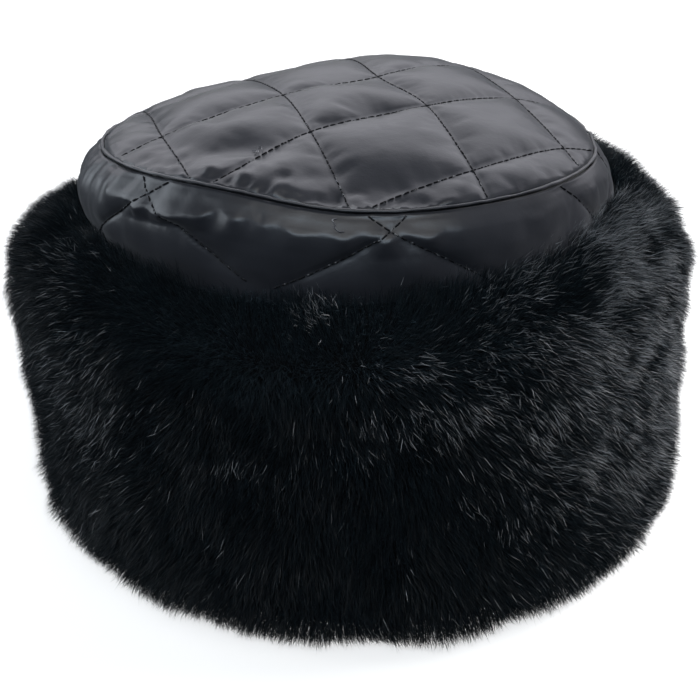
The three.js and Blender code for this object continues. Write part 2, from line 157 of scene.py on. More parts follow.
@dataclass(frozen=True)
class HatForm:
    """The forms that the crown and the cuff share, in millimetres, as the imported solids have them."""

    axis_x: float = 1.5
    axis_y: float = 2.5
    rim_half_width: float = 90.0
    rim_half_depth: float = 84.0
    rim_height: float = 141.0
    dome_centre: tuple[float, float] = (16.0, 7.0)
    dome_base: float = 141.8
    dome_rise: float = 14.6
    dome_power: float = 2.1
    level_power: float = 1.5
    hem_height: float = 4.0
    cuff_out_high: float = 38.2
    cuff_out_low: float = 40.9
    rim_out_by_angle: tuple[float, ...] = (
        -1.2, -0.8, 0, 0.3, -0.9, -0.5, 2.4, 1.7, -2, -1.4, -0.8, -0.9)
    rim_up_by_angle: tuple[float, ...] = (
        -3.3, -2.5, 1.9, 1.5, -3.9, -3.8, -1.5, 4.4, 7.5, 4.2, 3.5, 1)
    cuff_high_by_angle: tuple[float, ...] = (
        1.3, 3.5, 0.8, -0.5, -0.9, 1.5, 4.9, -0.5, 0.3, -0.4, -1.9, -7.2)
    cuff_low_by_angle: tuple[float, ...] = (
        -2.5, -1.5, -0.1, 0.2, -0.1, -1.1, -6, -0.7, 3, 5.3, 4.1, 1.9)
    crest_by_angle: tuple[float, ...] = (
        1.9, 4.6, 1.5, -2.8, -6.5, -9.5, 0.5, 3.6, 1.8, 0.6, 0.4, 1.4)
    wall_flare: tuple[tuple[float, float], ...] = (
        (1.4, -0.6), (5, 3), (12, 5), (22, 6.3), (140, 8))
    halvings: int = 24
    cuff_profile: tuple[tuple[float, float, float, float, float], ...] = (
        (0, 16, 1, 0, 0), (4, 7, 1, 0, 0), (12, 1, 1, 0, 0), (24, 0, 1, 0, 0),
        (57, 0, 0.5, 0.5, 0), (90, 0, 0, 1, 0.26), (101, 3, 0, 1, 0.58),
        (111, 11, 0, 1, 0.84), (116.5, 22, 0, 1, 1), (117.5, 33, 0, 1, 1))

    @property
    def axis(self) -> Array:
        """Where the crown's axis stands in plan."""
        return np.array([self.axis_x, self.axis_y])

    def place_round(self, points: Array) -> tuple[Array, Array]:
        """Finds where points lie round the crown.

        Args:
            points: rows of x, y and z.

        Returns:
            Their plan offsets from the axis, as shares of the rim's half width and half depth, and
            their angles.
        """
        shares = (points[:, :2] - self.axis) / [self.rim_half_width, self.rim_half_depth]
        return shares, np.degrees(np.arctan2(shares[:, 1], shares[:, 0]))

    def ring(self, angle: Array, out: Array, height: Array) -> Array:
        """Places points on the rim's ellipse grown outwards.

        Args:
            angle: angles round the crown's axis.
            out: distances outside the rim's ellipse.
            height: heights above the floor.

        Returns:
            The points, with x, y and z along the last axis.
        """
        turn = np.radians(angle)
        x = self.axis_x + (self.rim_half_width + out) * np.cos(turn)
        y = self.axis_y + (self.rim_half_depth + out) * np.sin(turn)
        return np.stack(np.broadcast_arrays(x, y, height), axis=-1)

    def rim_out(self, angle: Array) -> Array:
        """How far the rim strays outwards from its ellipse at each angle."""
        return periodic_curve(self.rim_out_by_angle, angle)

    def rim_top(self, angle: Array) -> Array:
        """The height of the rim seam at each angle."""
        return self.rim_height + periodic_curve(self.rim_up_by_angle, angle)

    def wall_out(self, angle: Array, drop: Array) -> Array:
        """How far the wall's plain outer side stands outside the ellipse."""
        drops, outs = zip(*self.wall_flare)
        return self.rim_out(angle) + np.interp(drop, drops, outs)

    def dome_place(self, x: Array, y: Array) -> tuple[Array, Array, Array]:
        """Finds where a plan point lies between the dome's centre and the rim.

        Args:
            x: distances from the crown's axis along X.
            y: distances from the crown's axis along Y.

        Returns:
            The share of the way to the rim, the rim seam's height on that way, and the
            distance inside the rim, negative outside it.
        """
        centre_x, centre_y = self.dome_centre
        bearing = np.arctan2(y - centre_y, x - centre_x)
        near = np.zeros_like(x)
        far = np.full_like(x, 2 * self.rim_half_width)
        edge_angle = np.zeros_like(x)
        for _ in range(self.halvings):
            middle = (near + far) / 2
            px = centre_x + np.cos(bearing) * middle
            py = centre_y + np.sin(bearing) * middle
            edge_angle = np.degrees(np.arctan2(py / self.rim_half_depth, px / self.rim_half_width))
            edge = self.ring(edge_angle, self.rim_out(edge_angle), 0)
            reach = np.hypot(edge[..., 0] - self.axis_x, edge[..., 1] - self.axis_y)
            inside = np.hypot(px, py) < reach
            near = np.where(inside, middle, near)
            far = np.where(inside, far, middle)
        share = np.hypot(x - centre_x, y - centre_y) / near
        return share, self.rim_top(edge_angle), near * (1 - share)

    def dome_height(self, x: Array, y: Array) -> Array:
        """Works out the height of the plain dome.

        Args:
            x: distances from the crown's axis along X.
            y: distances from the crown's axis along Y.

        Returns:
            The heights above the floor.
        """
        share, edge_height, _ = self.dome_place(x, y)
        level = self.dome_base + (edge_height - self.dome_base) * share ** self.level_power
        return level + self.dome_rise * (1 - share ** self.dome_power)


@dataclass
class CuffSurface:
    """The fur's outer side as a map from (angle, place), with place 0 at its foot and 1 at its crest."""

    form: HatForm
    columns: int = 360
    rows: int = 200
    samples: int = 24
    points: Array = field(init=False)
    normals: Array = field(init=False)
    length: float = field(init=False)

    def __post_init__(self) -> None:
        """Works out the map's points and outward normals."""
        angle = np.arange(self.columns) * FULL_TURN / self.columns
        low = self.form.cuff_out_low + periodic_curve(self.form.cuff_low_by_angle, angle)
        high = self.form.cuff_out_high + periodic_curve(self.form.cuff_high_by_angle, angle)
        crest = periodic_curve(self.form.crest_by_angle, angle)
        knots = np.stack([
            np.stack([row[2] * low + row[3] * high - row[1], row[0] + row[4] * crest], axis=-1)
            for row in self.form.cuff_profile], axis=1)
        fine = self.through(knots)
        step = np.linalg.norm(np.diff(fine, axis=1), axis=-1)
        run = np.concatenate([np.zeros((self.columns, 1)), np.cumsum(step, axis=1)], axis=1)
        place = np.linspace(0, 1, self.rows + 1)
        out = np.stack([np.interp(place * r[-1], r, f[:, 0]) for r, f in zip(run, fine)])
        height = np.stack([np.interp(place * r[-1], r, f[:, 1]) for r, f in zip(run, fine)])
        self.points = self.form.ring(angle[:, None], out, height)
        around = np.roll(self.points, -1, axis=0) - np.roll(self.points, 1, axis=0)
        along = np.gradient(self.points, axis=1)
        self.normals = unit(np.cross(around, along))
        self.length = float(run[:, -1].mean())

    def through(self, knots: Array) -> Array:
        """Draws a smooth curve through the profile's knots at every angle.

        Args:
            knots: columns by knots by (out, height).

        Returns:
            The curves' points, finely spaced.
        """
        padded = np.concatenate([knots[:, :1], knots, knots[:, -1:]], axis=1)
        share = (np.arange(self.samples) / self.samples)[None, :, None]
        spans = []
        for k in range(knots.shape[1] - 1):
            before, start, end, after = (padded[:, k + j][:, None, :] for j in range(4))
            slope_in = (end - before) / 2
            slope_out = (after - start) / 2
            spans.append(
                start + share * slope_in
                + share ** 2 * (3 * (end - start) - 2 * slope_in - slope_out)
                + share ** 3 * (2 * (start - end) + slope_in + slope_out))
        return np.concatenate([*spans, knots[:, -1:]], axis=1)

    def read(self, table: Array, angle: Array, place: Array) -> Array:
        """Reads a table of the map between its entries.

        Args:
            table: the points or the normals.
            angle: angles in degrees.
            place: places from 0 to 1.

        Returns:
            The table's value at each place.
        """
        column = np.mod(angle, FULL_TURN) * self.columns / FULL_TURN
        row = np.clip(place, 0, 1) * self.rows
        c0 = np.floor(column).astype(int) % self.columns
        r0 = np.minimum(np.floor(row).astype(int), self.rows - 1)
        u = (column - np.floor(column))[..., None]
        v = (row - r0)[..., None]
        c1 = (c0 + 1) % self.columns
        near = table[c0, r0] * (1 - u) + table[c1, r0] * u
        far = table[c0, r0 + 1] * (1 - u) + table[c1, r0 + 1] * u
        return near * (1 - v) + far * v

    def top(self, angle: Array, place: Array) -> Array:
        """Gives points on the fur's outer side."""
        return self.read(self.points, angle, place)

    def normal(self, angle: Array, place: Array) -> Array:
        """Gives the outward directions at the given places."""
        return unit(self.read(self.normals, angle, place))

    def at(self, angle: Array, place: Array, depth: Array) -> Array:
        """Gives points at a depth under the fur's outer side, in millimetres."""
        return self.top(angle, place) - self.normal(angle, place) * depth[..., None]


def new_piece(name: str, points: Array, faces: Sequence[Sequence[int]]) -> bpy.types.Object:
    """Makes a smoothly shaded mesh object whose place is in its mesh.

    Args:
        name: the piece's name.
        points: rows of x, y and z in millimetres.
        faces: each face's corners.

    Returns:
        The new object, linked to the scene.
    """
    mesh = bpy.data.meshes.new(name)
    mesh.from_pydata((points * MM).tolist(), [], faces)
    mesh.validate()
    mesh.shade_smooth()
    piece = bpy.data.objects.new(name, mesh)
    bpy.context.scene.collection.objects.link(piece)
    return piece


def strip(first: Sequence[int], second: Sequence[int]) -> list[tuple[int, int, int, int]]:
    """Joins two closed rings of the same number of corners with quads."""
    after = [(k + 1) % len(first) for k in range(len(first))]
    return [(first[k], first[n], second[n], second[k]) for k, n in enumerate(after)]


def select_only(piece: bpy.types.Object) -> None:
    """Makes one object the only selected and active one.

    Args:
        piece: the object.
    """
    bpy.ops.object.select_all(action="DESELECT")
    piece.select_set(True)
    bpy.context.view_layer.objects.active = piece


def face_outwards(piece: bpy.types.Object) -> None:
    """Turns a closed piece's faces outwards.

    Args:
        piece: the piece.
    """
    select_only(piece)
    bpy.ops.object.mode_set(mode="EDIT")
    bpy.ops.mesh.select_all(action="SELECT")
    bpy.ops.mesh.normals_make_consistent(inside=False)
    bpy.ops.object.mode_set(mode="OBJECT")


def corners_of(piece: bpy.types.Object) -> Array:
    """Reads a mesh's points.

    Args:
        piece: the object that holds the mesh.

    Returns:
        Rows of x, y and z, in millimetres.
    """
    flat = np.zeros(len(piece.data.vertices) * 3)
    piece.data.vertices.foreach_get("co", flat)
    return flat.reshape(-1, 3) / MM


def move_corners(piece: bpy.types.Object, points: Array) -> None:
    """Writes a mesh's points, given in millimetres."""
    piece.data.vertices.foreach_set("co", (points * MM).ravel())
    piece.data.update()


def outer_ring(piece: bpy.types.Object, centre: Array, high: bool | None) -> list[int]:
    """Finds the open edge of a sheet as a ring of corners in order of bearing.

    Args:
        piece: the sheet.
        centre: the plan point that bearings are measured from, in millimetres.
        high: for a tube, whether its upper or its lower edge is wanted.

    Returns:
        The corners' numbers.
    """
    edge_count = np.zeros(len(piece.data.edges), int)
    edge_of_loop = np.zeros(len(piece.data.loops), int)
    piece.data.loops.foreach_get("edge_index", edge_of_loop)
    np.add.at(edge_count, edge_of_loop, 1)
    ends = np.zeros(len(piece.data.edges) * 2, int)
    piece.data.edges.foreach_get("vertices", ends)
    ring = np.unique(ends.reshape(-1, 2)[edge_count == 1])
    points = corners_of(piece)
    if high is not None:
        middle = (points[ring, 2].min() + points[ring, 2].max()) / 2
        ring = ring[(points[ring, 2] > middle) == high]
    bearing = np.arctan2(points[ring, 1] - centre[1], points[ring, 0] - centre[0])
    return ring[np.argsort(bearing)].tolist()


def grid_faces(number: Array) -> list[list[int]]:
    """Lists the faces of a grid of corners.

    Args:
        number: the corners' numbers, row by row, with -1 for a corner that is left out.

    Returns:
        The faces' corners, with no face where fewer than three are left.
    """
    rings = np.stack([number[:-1, :-1], number[1:, :-1], number[1:, 1:], number[:-1, 1:]], axis=-1)
    kept = ([corner for corner in ring if corner >= 0] for ring in rings.reshape(-1, 4).tolist())
    return [ring for ring in kept if len(ring) >= 3]


def line_and_close(piece: bpy.types.Object, edge: Sequence[int], linings: Sequence[Array],
                   last: Sequence[int] | None = None) -> bpy.types.Object:
    """Closes an open sheet with a lining behind it.

    Args:
        piece: the open sheet, which the closed piece takes the place of.
        edge: the ring of corners that the lining starts from.
        linings: rings of points behind the sheet, with one for each corner of the edge.
        last: the ring of corners that the lining ends at, if it doesn't end in a face of its own.

    Returns:
        The closed piece, under the sheet's name.
    """
    name = piece.name
    points = corners_of(piece)
    faces = [tuple(face.vertices) for face in piece.data.polygons]
    ring = edge
    for number, lining in enumerate(linings):
        start = len(points) + number * len(lining)
        inner = range(start, start + len(lining))
        faces.extend(strip(ring, inner))
        ring = inner
    faces.extend([tuple(ring)] if last is None else strip(ring, last))
    bpy.data.objects.remove(piece)
    closed = new_piece(name, np.concatenate([points, *linings]), faces)
    face_outwards(closed)
    return closed


def lay_on(cloth: bpy.types.Object, line: Array, outwards: Array) -> Array:
    """Drops a line onto the cloth that it lies on.

    Args:
        cloth: the panel.
        line: points near the panel's face, in millimetres.
        outwards: the way out of the cloth at each point.

    Returns:
        The points where the line meets the cloth.
    """
    faces = [tuple(face.vertices) for face in cloth.data.polygons]
    tree = BVHTree.FromPolygons(corners_of(cloth).tolist(), faces)
    laid = []
    for point, out in zip(line, outwards):
        hit = tree.ray_cast(Vector(point + out * LAY_REACH), Vector(-out), 2 * LAY_REACH)[0]
        laid.append(point if hit is None else np.array(hit))
    return np.array(laid)


@dataclass(frozen=True)
class PaddingRun:
    """How a quilted panel is swelled by a cloth simulation with its seams held."""

    enlarge: float = 40.0
    least_ease: float = 0.008
    most_ease: float = 0.06
    pressure: float = 0.8
    stretch: float = 25.0
    shear: float = 8.0
    bend: float = 0.1
    damping: float = 3.0
    mass: float = 0.15
    frames: int = 30
    quality: int = 6
    most_move: float = 5.0

    def swell(self, piece: bpy.types.Object, held: Array, gathered: Array) -> None:
        """Runs the simulation and leaves its result in the mesh.

        Args:
            piece: the panel's outer sheet, faces outwards.
            held: for each corner, whether a seam holds it.
            gathered: for each corner, how much spare cloth is sewn in, from 0 to 1.
        """
        start = corners_of(piece)
        move_corners(piece, start * self.enlarge)
        group = piece.vertex_groups.new(name="held_by_seams")
        group.add(np.flatnonzero(held).tolist(), 1.0, "REPLACE")
        spare = piece.vertex_groups.new(name="spare_cloth")
        for corner, weight in enumerate(gathered.tolist()):
            spare.add([corner], weight, "REPLACE")
        select_only(piece)
        cloth = piece.modifiers.new("padding", "CLOTH")
        settings = cloth.settings
        settings.quality = self.quality
        settings.mass = self.mass
        settings.air_damping = self.damping
        settings.tension_stiffness = self.stretch
        settings.compression_stiffness = self.stretch
        settings.shear_stiffness = self.shear
        settings.bending_stiffness = self.bend
        settings.vertex_group_shrink = spare.name
        settings.shrink_min = -self.least_ease
        settings.shrink_max = -self.most_ease
        settings.use_pressure = True
        settings.uniform_pressure_force = self.pressure
        settings.vertex_group_mass = group.name
        settings.pin_stiffness = 1.0
        settings.effector_weights.gravity = 0
        cloth.collision_settings.use_collision = False
        cloth.collision_settings.use_self_collision = False
        cloth.point_cache.frame_start = 1
        cloth.point_cache.frame_end = self.frames
        for step in range(1, self.frames + 1):
            bpy.context.scene.frame_set(step)
        bpy.ops.object.modifier_apply(modifier=cloth.name)
        bpy.context.scene.frame_set(1)
        moved = corners_of(piece) / self.enlarge - start
        far = np.linalg.norm(moved, axis=1, keepdims=True)
        log.info("%s moved %.2f mm at most", piece.name, far.max())
        capped = moved * np.minimum(1, self.most_move / np.maximum(far, LEAST_LENGTH))
        move_corners(piece, start + capped)
        piece.vertex_groups.clear()


class Paint:
    """A material in the making: its shader, and the patterns that the finishes share."""

    def __init__(self, name: str, inputs: dict[str, float | Sequence[float]]) -> None:
        """Starts the material.

        Args:
            name: the material's name.
            inputs: the plain values of its shader's inputs.
        """
        self.material = bpy.data.materials.new(name)
        self.material.use_nodes = True
        self.tree = self.material.node_tree
        self.shader = self.tree.nodes["Principled BSDF"]
        for socket, value in inputs.items():
            self.shader.inputs[socket].default_value = value

    def feed(self, value: bpy.types.NodeSocket, socket: str) -> None:
        """Links a value to one of the shader's inputs."""
        self.tree.links.new(value, self.shader.inputs[socket])

    def noise(self, size: float, detail: float) -> bpy.types.NodeSocket:
        """Adds a noise on the object's own coordinates.

        Args:
            size: about how large its grains are, in millimetres.
            detail: how many finer layers it has.

        Returns:
            The noise's value, from 0 to 1.
        """
        noise = self.tree.nodes.new("ShaderNodeTexNoise")
        noise.inputs["Scale"].default_value = 1 / (size * MM)
        noise.inputs["Detail"].default_value = detail
        place = self.tree.nodes.new("ShaderNodeTexCoord")
        self.tree.links.new(place.outputs["Object"], noise.inputs["Vector"])
        return noise.outputs["Fac"]

    def tone(self, value: bpy.types.NodeSocket, stops: Sequence[tuple[float, Colour]]) -> None:
        """Colours the surface by a value.

        Args:
            value: what is read, from 0 to 1.
            stops: the values in rising order, each with its colour.
        """
        ramp = self.tree.nodes.new("ShaderNodeValToRGB")
        elements = ramp.color_ramp.elements
        for element, (position, colour) in zip(elements, (stops[0], stops[-1])):
            element.position = position
            element.color = (*colour, 1)
        for position, colour in stops[1:-1]:
            elements.new(position).color = (*colour, 1)
        self.tree.links.new(value, ramp.inputs["Fac"])
        self.feed(ramp.outputs["Color"], "Base Color")

    def rough_between(self, value: bpy.types.NodeSocket, limits: tuple[float, float]) -> None:
        """Lets the roughness follow a value.

        Args:
            value: what is read, from 0 to 1.
            limits: the roughness at 0 and at 1.
        """
        scaled = self.tree.nodes.new("ShaderNodeMapRange")
        scaled.inputs["To Min"].default_value, scaled.inputs["To Max"].default_value = limits
        self.tree.links.new(value, scaled.inputs["Value"])
        self.feed(scaled.outputs["Result"], "Roughness")

    def bumps(self, layers: Sequence[tuple[bpy.types.NodeSocket, float]]) -> None:
        """Raises the surface by bumps, one over the other.

        Args:
            layers: each bump's height, from 0 to 1, and its depth in millimetres.
        """
        below = None
        for height, depth in layers:
            bump = self.tree.nodes.new("ShaderNodeBump")
            bump.inputs["Distance"].default_value = depth * MM
            self.tree.links.new(height, bump.inputs["Height"])
            if below is not None:
                self.tree.links.new(below, bump.inputs["Normal"])
            below = bump.outputs["Normal"]
        self.feed(below, "Normal")


@dataclass(frozen=True)
class SatinFinish:
    """Padded satin: a dark, softly shining cloth with fine crinkles."""

    name: str = "quilted_satin"
    dark: Colour = (0.02, 0.021, 0.026)
    light: Colour = (0.03, 0.031, 0.037)
    tone_span: tuple[float, float] = (0.35, 0.65)
    cloud_size: float = 22.0
    shine: float = 0.6
    sheen: float = 0.12
    sheen_roughness: float = 0.4
    roughness: tuple[float, float] = (0.31, 0.38)
    gloss_size: float = 9.0
    crinkle: float = 0.1
    crinkle_size: float = 4.0
    weave: float = 0.02
    weave_size: float = 0.45

    def material(self) -> bpy.types.Material:
        """Makes the finish's material.

        Returns:
            The material.
        """
        paint = Paint(self.name, {
            "Specular IOR Level": self.shine, "Sheen Weight": self.sheen,
            "Sheen Roughness": self.sheen_roughness})
        paint.tone(paint.noise(self.cloud_size, 3), list(zip(self.tone_span, (self.dark, self.light))))
        paint.rough_between(paint.noise(self.gloss_size, 2), self.roughness)
        paint.bumps((
            (paint.noise(self.weave_size, 1), self.weave),
            (paint.noise(self.crinkle_size, 3), self.crinkle)))
        return paint.material


@dataclass(frozen=True)
class Creases:
    """The unevenness that a sheet starts with: puckers where it is gathered, and slack between."""

    pucker: float
    pucker_size: float
    slack: float
    slack_size: float
    seed: int
    fold_stretch: float = 1.0

    def at(self, points: Array, gathered: Array, free: Array) -> Array:
        """Works out how far the creases lift the cloth.

        Args:
            points: the sheet's corners.
            gathered: how much each is gathered, from 0 to 1.
            free: how far each is from the seams, from 0 to 1.

        Returns:
            The lift at each corner, in millimetres.
        """
        folds = points * [1, 1, self.fold_stretch]
        pucker = self.pucker * Ripple(self.pucker_size, self.seed).at(folds) * gathered
        return pucker + self.slack * Ripple(self.slack_size, self.seed + 1).at(points) * free


@dataclass
class CrownTop:
    """The domed top panel: padded satin quilted in diamonds."""

    form: HatForm
    finish: SatinFinish
    bearing_a: float = 36.5
    bearing_b: float = 107.0
    lines_a: tuple[float, ...] = (-109, -67, -24.5, 17.5, 60, 102)
    lines_b: tuple[float, ...] = (-106, -62, -18, 25.5, 69.7, 114)
    spacing: float = 1.45
    edge_inset: float = 1.9
    edge_snap: float = 0.62
    thickness: float = 3.0
    start_puff: float = 1.0
    puff_by_angle: tuple[float, ...] = (0.9, 0.8, 0.6, 0.5, 0.5, 1.0, 1.5, 1, 1, 1, 1, 1)
    groove: float = 0.4
    edge_fade: float = 6.0
    gather_reach: float = 14.0
    gathers_by_angle: tuple[float, ...] = (
        0.1, 0.1, 0.1, 0.1, 0.1, 0.1, 0.1, 0.25, 1, 0.6, 0.2, 0.15)
    creases: Creases = Creases(pucker=0.9, pucker_size=10.0, slack=0.55, slack_size=26.0, seed=11)
    sag_fade: float = 4.0
    sags: tuple[tuple[float, float, float, float, float], ...] = (
        (8, -73, 16, 10, 4.0), (-44, -47, 21, 9, 4.2), (-14, -66, 9, 6, 1.4),
        (-22, -52, 9, 6, 1.2), (31, -47, 8, 6, 1.1), (-12, 22, 20, 10, 0.8), (52, -20, 18, 9, 0.8),
        (-14, 66, 40, 14, 1.0), (38, 58, 22, 16, 1.0), (-55, 36, 14, 14, 0.8), (-78, 14, 8, 8, -2.0))
    pulls: tuple[tuple[float, float, float, float], ...] = (
        (-64.9, -26.2, -2, 1.8), (-27.2, 1.7, 1.2, 2), (9.9, 29.1, -1, -10.1),
        (-14.2, -40.9, -0.6, 4), (23, -13.5, 2.6, 0), (36.1, -56.6, 2.2, -0.4),
        (-46.6, -65, 1.5, -2.1), (87.5, -18.6, -1.7, 2.3))
    pull_reach: float = 30.0
    lining_shares: tuple[float, ...] = (1, 0.9, 0.75, 0.55, 0.3)
    padding: PaddingRun = PaddingRun(pressure=0.55, most_ease=0.13)

    def across(self, bearing: float) -> Array:
        """Gives the plan direction across the stitch lines that run at a bearing."""
        turn = math.radians(bearing)
        return np.array([-math.sin(turn), math.cos(turn)])

    def plan_point(self, a: Array, b: Array) -> Array:
        """Finds plan points from their distances across the two sets of stitch lines.

        Args:
            a: distances across the A lines.
            b: distances across the B lines.

        Returns:
            The points, measured from the crown's axis, after the cloth's own drift.
        """
        way = np.linalg.inv(np.stack([self.across(self.bearing_a), self.across(self.bearing_b)]))
        plain = np.stack([a, b], axis=-1) @ way.T
        knots = np.array([(x, y) for x, y, _, _ in self.pulls])
        drift = np.array([(dx, dy) for _, _, dx, dy in self.pulls])
        near = np.exp(-((knots[:, None] - knots[None]) ** 2).sum(-1) / self.pull_reach ** 2)
        weight = np.linalg.solve(near, drift)
        gap = ((plain[..., None, :] - knots) ** 2).sum(-1)
        return plain + np.exp(-gap / self.pull_reach ** 2) @ weight

    def sag(self, x: Array, y: Array) -> Array:
        """Works out how far the padding sags.

        Args:
            x: distances from the crown's axis along X.
            y: distances from the crown's axis along Y.

        Returns:
            How far each place sinks, in millimetres.
        """
        sunk = np.zeros_like(x)
        for place_x, place_y, reach_x, reach_y, depth in self.sags:
            gap = ((x - place_x) / reach_x) ** 2 + ((y - place_y) / reach_y) ** 2
            sunk = sunk + depth * np.exp(-gap)
        return sunk

    def lattice(self, lines: Sequence[float]) -> tuple[Array, Array, Array]:
        """Divides the way across one set of stitch lines.

        Args:
            lines: the stitch lines' distances.

        Returns:
            The distances, whether each lies on a stitch line, and its share of its cell.
        """
        values, on_line, share = [], [], []
        for start, end in zip(lines, lines[1:]):
            steps = round((end - start) / self.spacing)
            for k in range(steps):
                values.append(start + (end - start) * k / steps)
                on_line.append(k == 0)
                share.append(k / steps)
        return (np.array([*values, lines[-1]]), np.array([*on_line, True]),
                np.array([*share, 0.0]))

    def sheet(self) -> tuple[bpy.types.Object, Array, Array, Array]:
        """Builds the outer side before it is swelled.

        Returns:
            The sheet, and for each corner whether a seam holds it, how much it is gathered, and
            how far it will sag.
        """
        a, a_line, a_share = self.lattice(self.lines_a)
        b, b_line, b_share = self.lattice(self.lines_b)
        plan = self.plan_point(*np.meshgrid(a, b, indexing="ij"))
        x, y = plan[..., 0], plan[..., 1]
        inside = self.form.dome_place(x, y)[2] - self.edge_inset
        at_edge = np.abs(inside) < self.edge_snap * self.spacing
        outwards = unit(plan - self.form.dome_centre)
        plan = plan + np.where(at_edge, inside, 0)[..., None] * outwards
        x, y = plan[..., 0], plan[..., 1]
        kept = (inside >= 0) | at_edge
        full = 16 * (a_share * (1 - a_share))[:, None] * (b_share * (1 - b_share))[None]
        turn = np.degrees(np.arctan2(y / self.form.rim_half_depth, x / self.form.rim_half_width))
        puff = self.start_puff * np.sqrt(full) * np.clip(inside / self.edge_fade, 0, 1)
        puff = puff * periodic_curve(self.puff_by_angle, turn)
        seam = a_line[:, None] | b_line[None]
        z = self.form.dome_height(x, y) + puff - self.groove * (seam & ~at_edge)
        points = np.stack([x + self.form.axis_x, y + self.form.axis_y, z], axis=-1)
        near_rim = np.exp(-np.maximum(inside, 0) / self.gather_reach)
        gathered = np.clip(periodic_curve(self.gathers_by_angle, turn) * near_rim, 0, 1)
        held = seam | at_edge
        points[..., 2] += self.creases.at(points, gathered, np.sqrt(full)) * ~held
        number = np.full(kept.shape, -1)
        number[kept] = np.arange(kept.sum())
        piece = new_piece("crown_top_quilting", points[kept], grid_faces(number))
        sunk = self.sag(x, y) * np.sqrt(full) * np.clip(inside / self.sag_fade, 0, 1)
        return piece, held[kept], gathered[kept], sunk[kept]

    def build(self) -> bpy.types.Object:
        """Builds, pads, closes and dresses the panel.

        Returns:
            The panel.
        """
        piece, held, gathered, sunk = self.sheet()
        face_up(piece)
        self.padding.swell(piece, held, gathered)
        swelled = corners_of(piece)
        swelled[:, 2] -= sunk
        move_corners(piece, swelled)
        centre = self.form.axis + self.form.dome_centre
        edge = outer_ring(piece, centre, None)
        rim = corners_of(piece)[edge, :2]
        linings = []
        for share in self.lining_shares:
            plan = centre + share * (rim - centre)
            z = self.form.dome_height(*(plan - self.form.axis).T)
            linings.append(np.column_stack([plan, z - self.thickness]))
        piece = line_and_close(piece, edge, linings)
        piece.data.materials.append(self.finish.material())
        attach(piece, BODY)
        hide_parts("crown_top")
        return piece


def face_up(piece: bpy.types.Object) -> None:
    """Turns an open sheet's faces upwards."""
    if sum(face.normal.z for face in piece.data.polygons) < 0:
        piece.data.flip_normals()


